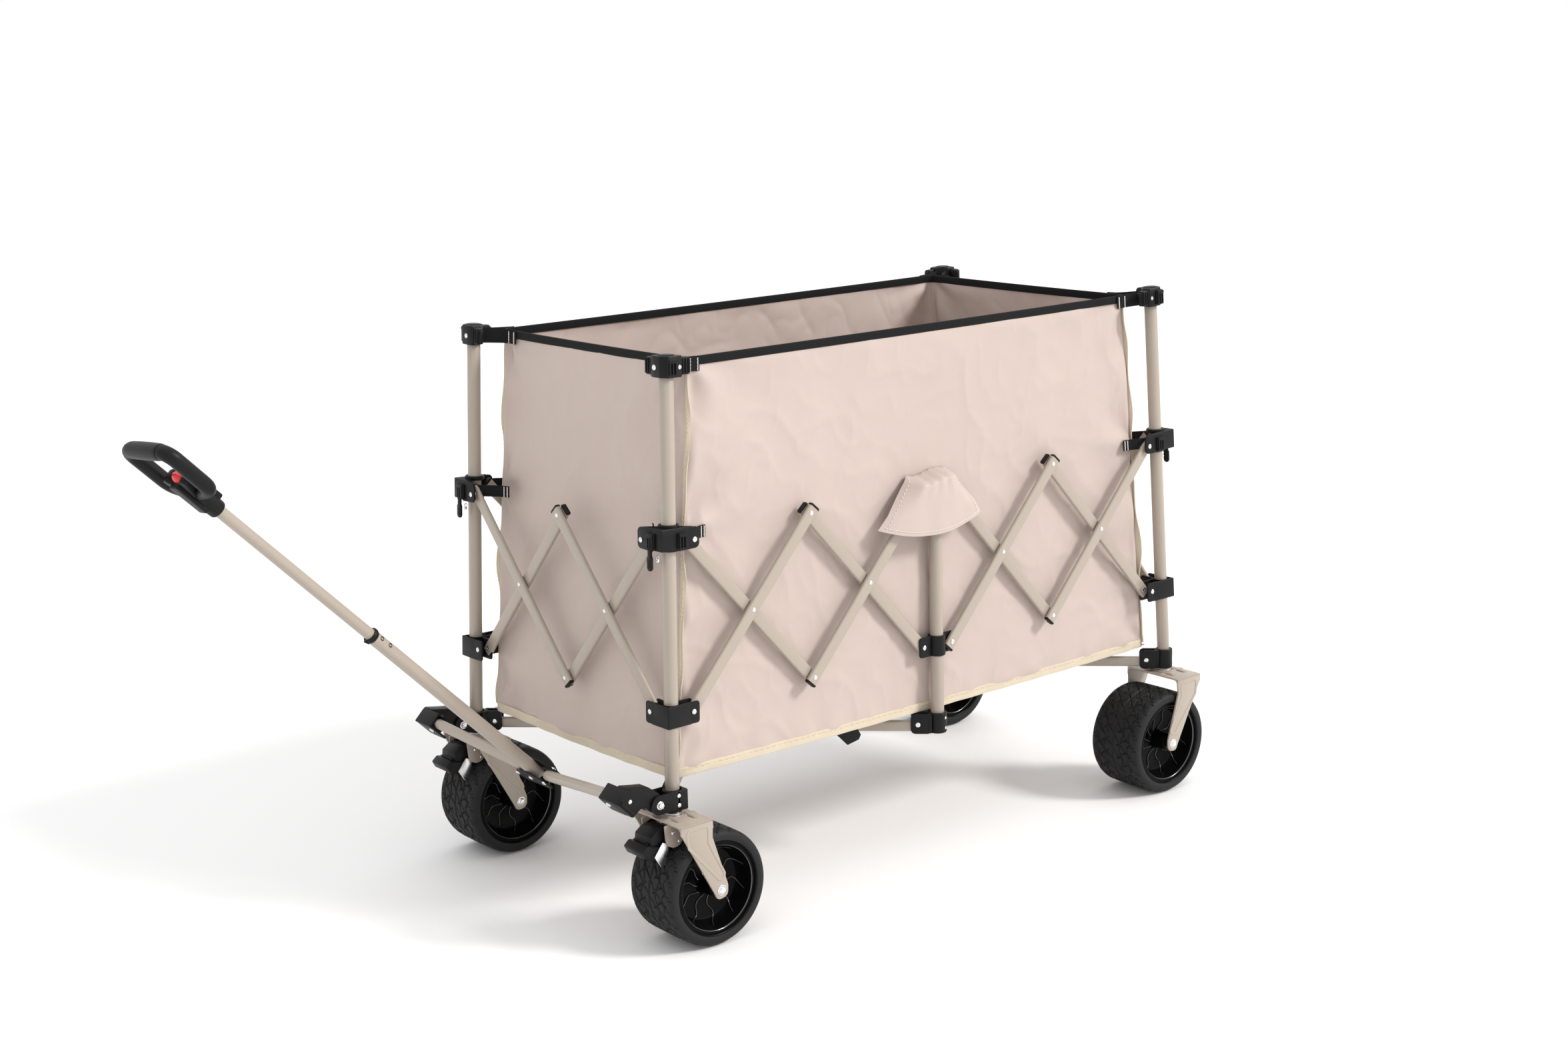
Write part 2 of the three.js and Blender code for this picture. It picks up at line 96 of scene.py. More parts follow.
def material(name, slot, color, rough, metal=0.0, grain=900.0, bump=0.08, spread=0.12, sheen=0.0,
             coat=0.0, patch=14.0, rough_spread=0.08, specular=0.5):
    """A finish whose tint and roughness drift in patches, over a fine grain."""
    SLOT[name] = slot
    m = bpy.data.materials.new(name)
    m.use_nodes = True
    shader, place = m.node_tree.nodes["Principled BSDF"], node(m, "TexCoord")
    big, fine = node(m, "TexNoise", Scale=patch, Detail=6), node(m, "TexNoise", Scale=grain, Detail=3)
    tint = node(m, "Mix")
    tint.data_type = "RGBA"
    tint.inputs["A"].default_value = (*[c * (1 - spread * 0.75) for c in color], 1)
    tint.inputs["B"].default_value = (*[min(1, c * (1 + spread * 0.5)) for c in color], 1)
    gloss = node(m, "MapRange", To_Min=max(0.02, rough - rough_spread), To_Max=min(1, rough + rough_spread))
    grainy = node(m, "Bump", Strength=bump, Distance=0.0005)
    wire(m, (place, "Object", big, "Vector"), (place, "Object", fine, "Vector"), (big, "Fac", tint, "Factor"),
         (tint, "Result", shader, "Base Color"), (big, "Fac", gloss, "Value"),
         (gloss, "Result", shader, "Roughness"), (fine, "Fac", grainy, "Height"),
         (grainy, "Normal", shader, "Normal"))
    shader.inputs["Metallic"].default_value = metal
    shader.inputs["Sheen Weight"].default_value = sheen
    shader.inputs["Coat Weight"].default_value = coat
    shader.inputs["Specular IOR Level"].default_value = specular
    return m


def woven(m, pitch, strength, crease, across="Y"):
    """Gives a material's bump a weave of two thread directions and soft creases."""
    bump = next(x for x in m.node_tree.nodes if x.type == "BUMP")
    place = next(x for x in m.node_tree.nodes if x.type == "TEX_COORD")
    split, merge = node(m, "SeparateXYZ"), node(m, "CombineXYZ")
    along, both = node(m, "Math"), node(m, "Math")
    along.operation, both.operation = "ADD", "MULTIPLY"
    warp, weft = (node(m, "TexWave", Scale=0.314 / pitch, Distortion=0.6) for _ in "XY")
    warp.bands_direction, weft.bands_direction = "X", "Y"
    wrinkle = node(m, "TexNoise", Scale=7, Detail=8, Distortion=0.8)
    soft = node(m, "Bump", Strength=crease, Distance=0.01)
    bump.inputs["Strength"].default_value = strength
    bump.inputs["Distance"].default_value = 0.0003
    wire(m, (place, "Object", split, 0), (split, "X", along, 0), (split, across, along, 1),
         (along, 0, merge, "X"), (split, "Z", merge, "Y"), (merge, 0, warp, "Vector"),
         (merge, 0, weft, "Vector"), (warp, "Fac", both, 0), (weft, "Fac", both, 1),
         (both, 0, bump, "Height"), (place, "Object", wrinkle, "Vector"), (wrinkle, "Fac", soft, "Height"),
         (soft, "Normal", bump, "Normal"))
    return m


SAND = material("sand_coat", "sand_paint", (0.355, 0.302, 0.25), 0.33, grain=2600, bump=0.05, spread=0.05,
                coat=0.15, patch=9, rough_spread=0.05)
CAM = material("cam_coat", "sand_paint", (0.30, 0.25, 0.21), 0.42, grain=2600, bump=0.05, spread=0.08)
BLACK = material("black_nylon", "black_plastic", (0.007, 0.007, 0.0072), 0.42, grain=1700, bump=0.25,
                 spread=0.3, patch=20, rough_spread=0.07, specular=0.17)
RED = material("red_button", "red_plastic", (0.62, 0.012, 0.016), 0.3, grain=1200, bump=0.05, spread=0.15,
               coat=0.2)
STEEL = material("zinc_steel", "steel", (0.78, 0.78, 0.79), 0.24, metal=1.0, grain=1500, bump=0.06, patch=60)
TYRE = material("tyre_rubber", "tyre", (0.013, 0.013, 0.0135), 0.6, bump=0.2, spread=0.35, patch=25,
                specular=0.22)
HUB = material("hub_gloss", "hub_plastic", (0.0025, 0.0025, 0.0025), 0.3, grain=700, bump=0.04, spread=0.2,
               patch=18, rough_spread=0.05, specular=0.07)
# Painted highlight: the ribs and the rim lip are the hub's own black plastic, given a lighter base colour so
# that they show as thin bright lines.
HUB_RIB_HIGHLIGHT = material("hub_rib_painted_highlight", "hub_plastic", (0.035, 0.035, 0.035), 0.2, coat=0.5, grain=700, bump=0.04,
                   spread=0.2, patch=18, rough_spread=0.05, specular=0.9)
FABRIC = woven(material("bag_polyester", "bag_fabric", (0.475, 0.385, 0.345), 0.62, grain=1500, spread=0.06,
                        sheen=0.14, patch=5, rough_spread=0.07), 0.0011, 0.35, 0.12)
FLOOR_FABRIC = woven(material("floor_polyester", "bag_fabric", (0.50, 0.405, 0.355), 0.66, grain=1500,
                              spread=0.06, sheen=0.2, patch=5), 0.0011, 0.35, 0.3, "X")
BINDING = woven(material("cream_binding", "binding", (0.56, 0.48, 0.365), 0.75, sheen=0.2, patch=40),
                0.0016, 0.6, 0.1)
WEBBING = woven(material("black_webbing", "webbing", (0.008, 0.008, 0.0085), 0.75, spread=0.3, sheen=0.03,
                         patch=60, specular=0.12), 0.0018, 0.9, 0.05)
THREAD = material("white_thread", "binding", (0.78, 0.76, 0.72), 0.7, grain=2500, bump=0.4, spread=0.1,
                  patch=300)
CREAM_THREAD = material("cream_thread", "binding", (0.74, 0.64, 0.47), 0.7, grain=2500, bump=0.4, spread=0.1,
                        patch=300)
FLOOR_LOOK = material("studio_floor", "", (0.86, 0.86, 0.86), 0.7, grain=300, bump=0.02, spread=0.01, patch=1)


# ---- mesh helpers ----
class Shape:
    """Points and faces in millimetres."""

    def __init__(self, points=(), faces=()):
        self.points, self.faces = [Vector(p) for p in points], list(faces)

    def join(self, other, place=None):
        """Adds another shape, carried by a matrix; a matrix that mirrors turns its faces round."""
        base, place = len(self.points), place or Matrix()
        way = -1 if place.determinant() < 0 else 1
        self.points += [place @ p for p in other.points]
        self.faces += [tuple(base + i for i in face)[::way] for face in other.faces]
        return self

    def carried(self, place):
        return Shape().join(self, place)


def mesh_of(name, shape, look, sharp=34):
    mesh = bpy.data.meshes.new(name)
    mesh.from_pydata([tuple(p) for p in shape.points], [], shape.faces)
    mesh.polygons.foreach_set("use_smooth", [True] * len(mesh.polygons))
    mesh.set_sharp_from_angle(angle=math.radians(sharp))
    mesh.materials.append(look)
    mesh.update()
    return mesh


def add_object(name, data):
    o = bpy.data.objects.new(name, data)
    bpy.context.scene.collection.objects.link(o)
    return o


def piece(name, shape, look, body, replaces=(), place=None, sharp=34, slot=None):
    """Makes a visible piece from a shape, or from a shared mesh that place carries to the cart's frame."""
    if place is None:
        shape = mesh_of(name, shape, look, sharp)
        shape.transform(TO_ROW)
        shape.update()
    o = add_object(name, shape)
    if place is not None:
        o.matrix_world = TO_ROW @ place
    slot = slot or SLOT[look.name]
    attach(o, body)
    if replaces:
        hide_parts(*replaces)
    return o


def shift(x, y, z):
    return Matrix.Translation((x, y, z))


def spin(degrees, axis):
    return Matrix.Rotation(math.radians(degrees), 4, axis)


def mirror(x, y, z):
    return Matrix.Diagonal((x, y, z, 1))


XZ = Matrix(((1, 0, 0, 0), (0, 0, -1, 0), (0, 1, 0, 0), (0, 0, 0, 1)))
SWAP = Matrix(((0, 1, 0, 0), (1, 0, 0, 0), (0, 0, 1, 0), (0, 0, 0, 1)))


def angles(count):
    return [2 * math.pi * i / count for i in range(count)]


def ring_faces(rows, count, closed=False):
    """Faces between rows of points that each go round; the end rows are joined up or capped."""
    faces = []
    for r in range(rows if closed else rows - 1):
        a, b = r * count, (r + 1) % rows * count
        faces += [(a + i, a + (i + 1) % count, b + (i + 1) % count, b + i) for i in range(count)]
    if not closed:
        faces += [tuple(range(count))[::-1], tuple(range((rows - 1) * count, rows * count))]
    return faces


def lathe(profile, place=None, count=32, closed=False):
    """Turns a profile of (radius, height) about Z; it runs from the low end up the outside."""
    points = [(r * math.cos(a), r * math.sin(a), h) for r, h in profile for a in angles(count)]
    return Shape(points, ring_faces(len(profile), count, closed)).carried(place)


def corners(points, steps=5):
    """Rounds a polygon's corners: each point is (x, y, radius)."""
    out, n = [], len(points)
    for i, (x, y, r) in enumerate(points):
        p = Vector((x, y))
        a, b = Vector(points[i - 1][:2]) - p, Vector(points[(i + 1) % n][:2]) - p
        reach = 0.49 * min(a.length, b.length)
        a.normalize()
        b.normalize()
        half = a.angle(b) / 2
        if r < 0.05 or abs(half - math.pi / 2) < 0.02:
            out.append((x, y))
            continue
        cut = min(r / math.tan(half), reach)
        middle = p + (a + b).normalized() * (cut / math.cos(half))
        start, end = p + a * cut - middle, p + b * cut - middle
        turn = math.atan2(start.x * end.y - start.y * end.x, start.dot(end))
        for k in range(steps + 1):
            c, s = math.cos(turn * k / steps), math.sin(turn * k / steps)
            out.append((middle.x + start.x * c - start.y * s, middle.y + start.x * s + start.y * c))
    return out


def oblong(x0, y0, x1, y1, r, steps=5):
    """A rectangle with rounded corners."""
    return corners([(x0, y0, r), (x1, y0, r), (x1, y1, r), (x0, y1, r)], steps)


def inset(outline, by):
    n, out = len(outline), []
    for i in range(n):
        p, before, after = (Vector(outline[k % n]) for k in (i, i - 1, i + 1))
        e, f = p - before, after - p
        if e.length < 1e-6 or f.length < 1e-6:
            out.append(tuple(p))
            continue
        e.normalize()
        f.normalize()
        out.append(tuple(p + Vector((-e.y - f.y, e.x + f.x)) * (by / max(0.35, 1 + e.dot(f)))))
    return out


def plate(outline, depth, bevel=0.8, place=None):
    """An outline in XY, from z 0 to depth, with rounded edges."""
    pairs = zip(outline, outline[1:] + outline[:1])
    if sum(x0 * y1 - x1 * y0 for (x0, y0), (x1, y1) in pairs) < 0:
        outline = outline[::-1]
    rows = [(bevel * (1 - math.sin(a)), bevel * (1 - math.cos(a))) for a in map(math.radians, (0, 35, 90))]
    rows += [(i, depth - z) for i, z in reversed(rows)]
    points = [(x, y, z) for i, z in rows for x, y in inset(outline, i)]
    return Shape(points, ring_faces(len(rows), len(outline))).carried(place)


def block(x0, x1, y0, y1, z0, z1, round_by=2.0, bevel=0.8, place=None):
    """A box whose upright edges are rounded and whose other edges are bevelled."""
    outline = oblong(x0, min(y0, y1), x1, max(y0, y1), round_by, 4)
    return plate(outline, z1 - z0, bevel, (place or Matrix()) @ shift(0, 0, z0))


def sweep(path, section, up=(0, 0, 1), closed=False, scale=None):
    """Carries a closed section of (side, up) points along a path."""
    path, n, points, side = [Vector(p) for p in path], len(path), [], None
    for i, p in enumerate(path):
        a = path[i - 1] if (i or closed) else p
        b = path[(i + 1) % n] if (i < n - 1 or closed) else p
        t = (b - a).normalized()
        side = (t.cross(Vector(up)) if side is None else side - t * side.dot(t)).normalized()
        lift = side.cross(t)
        k = scale(i / (n - 1)) if scale else 1
        points += [p + side * (x * k) + lift * (y * k) for x, y in section]
    return Shape(points, ring_faces(n, len(section), closed))


def circle(wide, count=12, tall=None):
    """A round or oval section, going clockwise as sweep needs."""
    return [(wide * math.cos(a), -(tall or wide) * math.sin(a)) for a in angles(count)]


def frame_at(origin, x, z):
    """A matrix with its X along x and its Z close to z."""
    x = Vector(x).normalized()
    y = Vector(z).cross(x).normalized()
    m = Matrix((x, y, x.cross(y))).transposed().to_4x4()
    m.translation = Vector(origin)
    return m


def along_z(origin, z):
    z = Vector(z).normalized()
    x = Vector((0, 0, 1)).cross(z) if abs(z.z) < 0.9 else Vector((1, 0, 0))
    return frame_at(origin, x, z)


def rivet(origin, axis, r=4.0, h=1.8):
    """A domed rivet head with a dimple; the axis points out of the surface."""
    return lathe([(r * 0.85, -1.5), (r, 0), (r * 0.96, h * 0.4), (r * 0.72, h * 0.85), (r * 0.4, h),
                  (r * 0.3, h * 0.92), (r * 0.18, h * 0.45)], along_z(origin, axis), 20)


def hex_bolt(origin, axis, r, h):
    """A hexagonal head on a washer, with the bolt's end in it."""
    place = along_z(origin, axis)
    s = lathe([(r * 1.25, -0.8), (r * 1.25, 0.6), (r * 1.15, 1.0), (r * 0.5, 1.0)], place, 28)
    s.join(plate([(r * math.cos(a), r * math.sin(a)) for a in angles(6)], h, 0.8, place @ shift(0, 0, 0.8)))
    return s.join(lathe([(r * 0.45, h), (r * 0.45, h + 1.8), (r * 0.3, h + 2.4)], place, 20))


def dome_bolt(origin, axis, r, h):
    return lathe([(r * 1.18, -0.5), (r * 1.18, 0.7), (r, 1.0), (r * 0.97, 1.6), (r * 0.82, h * 0.72),
                  (r * 0.55, h * 0.95), (r * 0.2, h)], along_z(origin, axis), 32)


def thread_line(start, end, normal, pitch, gap, r, zig=0.0):
    """A row of stitches from start to end on a surface with that normal; zig sets them aslant."""
    start, end, normal = Vector(start), Vector(end), Vector(normal).normalized()
    along = (end - start).normalized()
    across = normal.cross(along) * zig
    s = Shape()
    for i in range(max(1, int((end - start).length / pitch))):
        way = 1 if i % 2 else -1
        a = start + along * (i * pitch) + across * way
        b = start + along * ((i + 1) * pitch - gap) - across * way
        m = (a + b) / 2 + normal * r * 0.9
        s.join(sweep([a - normal * 0.1, m, b - normal * 0.1], circle(r, 6), normal))
    return s


def smooth_path(points, count):
    """A smooth curve through the points."""
    out, n = [], len(points)
    for i in range(count):
        t = i / (count - 1) * (n - 1)
        k = min(int(t), n - 2)
        f = t - k
        p0, p1, p2, p3 = (points[max(0, min(n - 1, k + j))] for j in (-1, 0, 1, 2))
        out.append(0.5 * ((2 * p1) + (p2 - p0) * f + (2 * p0 - 5 * p1 + 4 * p2 - p3) * f * f
                          + (3 * p1 - p0 - 3 * p2 + p3) * f ** 3))
    return out


# ---- camera, floor and light ----
def look_matrix(azimuth, elevation, roll):
    az, el, ro = (math.radians(v) for v in (azimuth, elevation, roll))
    back = Vector((math.sin(az) * math.cos(el), -math.cos(az) * math.cos(el), math.sin(el)))
    right = Vector((math.cos(az), math.sin(az), 0))
    up = back.cross(right)
    r = right * math.cos(ro) + up * math.sin(ro)
    u = -right * math.sin(ro) + up * math.cos(ro)
    return Matrix((r, u, back)).transposed().to_4x4()


def sun(name, toward, strength, spread, color=(1, 1, 1)):
    data = bpy.data.lights.new(name, "SUN")
    data.energy, data.angle, data.color = strength, math.radians(spread), color
    add_object(name, data).matrix_world = Vector(toward).to_track_quat("-Z", "Y").to_matrix().to_4x4()


camera = add_object("camera", bpy.data.cameras.new("camera"))
camera.matrix_world = Matrix.Translation(TO_ROW @ Vector((-2499.4, -2948.2, 1379.1))) @ look_matrix(
    -39.186, 12.531, -1.538)
camera.data.sensor_width = 36
camera.data.lens = 53.01
camera.data.clip_end = 100
bpy.context.scene.camera = camera

sun("key", (-0.70, 0.90, -0.80), 2.5, 14, (1, 0.985, 0.955))
sun("top", (0.1, -0.15, -1), 0.4, 60)

world = bpy.data.worlds.new("studio")
world.use_nodes = True
world.node_tree.nodes["Background"].inputs["Color"].default_value = (1, 1, 1, 1)
world.node_tree.nodes["Background"].inputs["Strength"].default_value = 1.0
bpy.context.scene.world = world
bpy.context.scene.view_settings.view_transform = "Standard"

floor_mesh = bpy.data.meshes.new("studio_floor")
floor_mesh.from_pydata([(30 * x, 30 * y, -0.0005) for x, y in ((-1, -1), (1, -1), (1, 1), (-1, 1))], [],
                       [(0, 1, 2, 3)])
floor_mesh.materials.append(FLOOR_LOOK)
floor = add_object("studio_floor", floor_mesh)


# ---- where things are ----
def post_place(sx, sy):
    lean = Matrix.Rotation(sy * LEAN_Y, 4, "X") @ Matrix.Rotation(-sx * LEAN_X, 4, "Y")
    return shift(sx * POST_X, sy * POST_Y, MID_Z) @ lean


def foot_place(sx, sy):
    drop = MID_Z - BASE_Z
    return Vector((sx * (POST_X + drop * math.tan(LEAN_X)),
                   sy * (POST_Y + (drop * math.tan(LEAN_Y) if sx else 0)), 0))


def outward(sx, sy):
    """A corner's own frame, with +X and +Y out of the cart; it leans with its post."""
    return post_place(sx, sy) @ shift(0, 0, -MID_Z) @ mirror(sx, sy, 1)


def base_bars(sx):
    """The four base bars of an end, each with the signs of the post that it starts at."""
    return ("left", sx, -1), ("right", sx, 1), ("mid_left", 0, -1), ("mid_right", 0, 1)


HUB_X = foot_place(1, 1).x / 2
BAR = shift(-ELBOW_X, 0, ELBOW_Z) @ spin(45, "Y") @ spin(180, "Z")


def upright(outline, y0, y1, bevel=0.8, place=None):
    """An outline in the XZ plane, between two values of Y."""
    return plate(outline, abs(y1 - y0), bevel, (place or Matrix()) @ shift(0, max(y0, y1), 0) @ XZ)


# ---- posts, brackets and caps ----
def folded(face_y, face_x, crease, reach_x, reach_y, thick=3.0):
    """The plan of a plate folded round a corner post; +X and +Y point out of the cart."""
    cx, cy = crease
    return corners([(-reach_x, face_y, 0.8), (cx, cy, 1.6), (face_x, -reach_y, 0.8),
                    (face_x - thick, -reach_y, 0.8), (cx - thick - 0.4, cy - thick - 0.4, 1),
                    (-reach_x, face_y - thick, 0.8)], 4)


def strap_end(straps, threads, place, route, z, width, lines=(3.5, 17.5)):
    """A webbing tail along a plan route from its bracket to the bag, with stitches across its far end."""
    thick = 1.6
    fine = smooth_path([Vector((a, b, z)) for a, b in route], 13)
    section = oblong(-thick / 2, -width / 2, thick / 2, width / 2, thick / 2, 3)[::-1]
    straps.join(sweep(fine, section), place)
    along = (fine[-1] - fine[-2]).normalized()
    out = Vector((along.y, -along.x, 0)) * (1 if along.x < 0 else -1)
    up = Vector((0, 0, width / 2 - 1))
    for off in lines:
        p = fine[-1] - along * off + out
        threads.join(thread_line(p - up, p + up, out, 2.4, 0.6, 0.75, 0.3), place)


def snap_clip(shape, place, x, y, z, wide=17, tall=26):
    """A moulded snap clip standing on a bracket's face: a frame with two slots over a hollow."""
    place = place @ shift(x, y, z)
    half, up = wide / 2, tall / 2
    shape.join(upright(oblong(-half, -up, half, up, 2.5, 4), 0, 3.4, 1.0, place))
    for bar in (-half + 3.2, 0, half - 3.2):
        shape.join(upright(oblong(bar - 1.5, -up + 3, bar + 1.5, up - 6, 1.2, 3), 0, 6.0, 0.7, place))
    shape.join(upright(oblong(-half + 1, up - 7, half - 1, up - 1, 1.5, 3), 0, 6.4, 1.0, place))
    shape.join(upright(oblong(-half + 1, -up + 0.6, half - 1, -up + 3.4, 1.0, 3), 0, 5.2, 0.8, place))


def corner_cap(label, sx, sy, body):
    """A post's cap with its clips and straps; gives back its rivets."""
    place, z0, z1 = outward(sx, sy), 861, 893
    plastic, straps, threads, metal = (Shape() for _ in range(4))
    plan = corners([(-19, 15, 3), (-8, 17, 5), (8, 17.5, 8), (17.5, 8, 8), (17, -8, 5), (15, -19, 3),
                    (-2, -18, 4), (-18, -2, 4)], 5)
    plastic.join(plate(plan, z1 - z0, 2.2, place @ shift(0, 0, z0)))
    plastic.join(lathe([(12.5, z1 - 1), (12.5, z1 + 0.6), (11.6, z1 + 1.2), (4, z1 + 1.3)], place, 40))
    for turn, route in ((place, [(-12, 0), (-32, -8), (-52, -12.0), (-70, -12.4)]),
                        (place @ SWAP, [(-10, 2), (-24, -20), (-40, -38), (-62, -40.6)])):
        plastic.join(block(-33, -12, 1.5, 13.5, z0 + 3, z1 - 3, 3, 1.4, turn))
        plastic.join(block(-37, -30, 4.0, 11.0, z0 + 6, z1 - 6, 2, 1.0, turn))
        for x in (-20, -25.5, -31):
            plastic.join(block(x - 1.3, x + 1.3, 12, 15.2, z0 + 5, z1 - 5, 1.2, 0.7, turn))
        strap_end(straps, threads, turn, route, 875.5, 23)
    snap_clip(plastic, place, 3.0, 16.5, 876.5)
    metal.join(rivet((17.4, -5.5, 876), (1, 0.1, 0), 4.2, 1.9), place)
    metal.join(rivet((-12.5, 15.6, 876), (0.1, 1, 0), 3.4, 1.5), place)
    piece(f"cap_{label}", plastic, BLACK, body)
    piece(f"cap_straps_{label}", straps, WEBBING, body)
    piece(f"cap_stitches_{label}", threads, THREAD, body)
    return metal


def corner_slider(label, sx, sy):
    body, place, tail = f"slider_{label}", outward(sx, sy), outward(sx, sy) @ SWAP
    z0, z1 = HIGH_Z - 14, HIGH_Z + 22
    plastic, straps, threads, metal = (Shape() for _ in range(4))
    plastic.join(plate(folded(17.4, 27.2, (27.6, 19.5), EAR_X - 4, EAR_Y - 4, 3.6), z1 - z0 - 3, 1.3,
                       place @ shift(0, 0, z0 + 1.5)))
    plastic.join(plate(folded(15.6, 24.6, (24.4, 16.8), 14, 12, 11), z1 - z0 - 6, 1.0,
                       place @ shift(0, 0, z0 + 3)))
    for collar in ([(12, z1 - 4), (15.8, z1 - 4), (15.8, z1 + 1.2), (14.8, z1 + 2.4), (12, z1 + 2.4)],
                   [(12, z0 - 1.5), (14.4, z0 - 1.5), (15.4, z0 - 0.4), (15.4, z0 + 3), (12, z0 + 3)]):
        plastic.join(lathe(collar, place, 40, closed=True))
    for turn, face, pivot, route in (
            (place, 17.6, -EAR_X, [(-30, 8), (-48, 2), (-62, -6), (-74, -8.5)]),
            (tail, 27.4, -EAR_Y, [(-30, 14), (-42, 2), (-56, -14), (-70, -22)])):
        ear = corners([(pivot - 9, z0 + 1, 8), (-4, z0 - 1, 3), (-4, z1 - 1, 3), (pivot - 9, z1 - 3, 8)], 6)
        plastic.join(upright(ear, face - 3.8, face, 1.3, turn))
        metal.join(rivet((pivot, face, HIGH_Z), (0, 1, 0), 4.3, 2.2), turn)
        strap_end(straps, threads, turn, route, z0 + 19, 19, (3, 9))
    snap_clip(plastic, place, -10, 17.4, HIGH_Z + 1)
    snap_clip(plastic, tail, -4, 27.2, HIGH_Z + 1)
    lever, lever_y = tail @ shift(-4, 0, 0), 29.5
    tab = corners([(-4, z0 + 4, 1), (-4, z0 - 6, 2), (-6, z0 - 9, 2), (-6, z0 - 29, 6), (6, z0 - 29, 6),
                   (6, z0 - 9, 2), (4, z0 - 6, 2), (4, z0 + 4, 1)], 5)
    plastic.join(upright(tab, lever_y, lever_y + 4.2, 1.4, lever))
    for k in range(6):
        low = z0 - 13 - 2.2 * k
        plastic.join(upright(oblong(-3.4, low, 3.4, low + 1, 0.5, 2), lever_y, lever_y + 4.9, 0.3, lever))
    ring = [(2.43 * math.cos(a), 0, 2.852 * math.sin(a)) for a in angles(20)]
    metal.join(sweep(ring, circle(0.8, 8), (0, 1, 0), closed=True), place @ shift(19, -2, z0 - 10))
    bead = [(0.4, -2.6), (1.9, -1.9), (2.7, 0), (1.9, 1.9), (0.4, 2.6)]
    metal.join(lathe(bead, place @ shift(19, -2, z0 - 15), 16))
    piece(f"slider_body_{label}", plastic, BLACK, body, [body])
    piece(f"slider_straps_{label}", straps, WEBBING, body)
    piece(f"slider_stitches_{label}", threads, THREAD, body)
    piece(f"slider_rivets_{label}", metal, STEEL, body)


def lower_bracket(plastic, metal, sx, sy):
    place = outward(sx, sy)
    z0, z1 = LOW_Z - 19, LOW_Z + 15
    plan = folded(10.6, 15.6, (17.2, 16.4), EAR_X - 4, EAR_Y - 4)
    plastic.join(plate(plan, z1 - z0, 1.0, place @ shift(0, 0, z0)))
    collar = [(11.2, z0 + 1), (13.6, z0 + 1), (13.6, z1 - 1), (11.2, z1 - 1)]
    plastic.join(lathe(collar, place, 40, closed=True))
    for turn, face, pivot in ((place, 10.8, -EAR_X), (place @ SWAP, 15.8, -EAR_Y)):
        ear = corners([(pivot - 11, z0 + 1, 5), (-8, z0, 1), (-8, z1, 1), (pivot - 11, z1 + 1, 5)], 5)
        plastic.join(upright(ear, face - 3.2, face, 0.9, turn))
        plastic.join(upright(ear, face - 22, face - 19, 0.9, turn))
        metal.join(rivet((pivot, face, LOW_Z), (0, 1, 0), 4.3, 2.2), turn)


def foot_bracket(plastic, metal, sx, sy):
    """The collar on a post's foot, with a pair of ears for each base bar."""
    foot = foot_place(sx, sy)
    place = Matrix.Translation(foot)
    collar = [(11.2, 206), (14.2, 206), (15.2, 207), (15.2, 239), (14.4, 240), (11.2, 240)]
    plastic.join(lathe(collar, place, 40, closed=True))
    for hub in ((sx,) if sx else (-1, 1)):
        turn = place @ Matrix.Rotation(math.atan2(-foot.y, hub * HUB_X - foot.x), 4, "Z")
        for start, y0, y1, rivet_y, way in ((6, -2, 2, -2, -1), (14, 14, 17, 17, 1)):
            ear = corners([(start, 206, 1), (44, 206, 8), (44, 240, 8), (start, 240, 1)], 5)
            plastic.join(upright(ear, y0, y1, 0.9, turn))
            metal.join(rivet((32, rivet_y, BASE_Z + 4), (0, way, 0), 4.2, 2.0), turn)
        plastic.join(block(9, 17, 0, 17, 207, 239, 2, 0.8, turn))
    out = Vector((sx, sy * 1.2, 0) if sx else (0.35, sy, 0)).normalized()
    for z in (214, 231):
        metal.join(rivet(foot + out * 15.0 + Vector((0, 0, z)), out, 2.6, 1.2))


def elbow_cheeks(plastic, metal, sy):
    """The two plates on a front post's foot that hold an elbow of the pull bar."""
    tip = -ELBOW_X - 15
    cheek = corners([(tip, 211, 14.5), (-549, 211, 2), (-549, 241, 2), (tip, 241, 14.5)], 8)
    for y in (259, 289.5):
        plastic.join(upright(cheek, sy * y, sy * (y + 3.5), 1.0))
    plastic.join(block(-556, -534, sy * 259, sy * 293, 209, 240, 3, 1.0))
    metal.join(hex_bolt((-ELBOW_X, sy * 293, ELBOW_Z), (0, sy, 0), 5.2, 3.4))
    metal.join(hex_bolt((-ELBOW_X, sy * 259, ELBOW_Z), (0, -sy, 0), 5.2, 2.4))
    for z in (233, 218):
        metal.join(rivet((-552, sy * 293, z), (0, sy, 0), 3.4, 1.6))


# ---- forks, casters and wheels ----
def mirrored(points):
    """The points in reverse, on the other side of the first axis."""
    return [(x, -y) for x, y in reversed(points)]


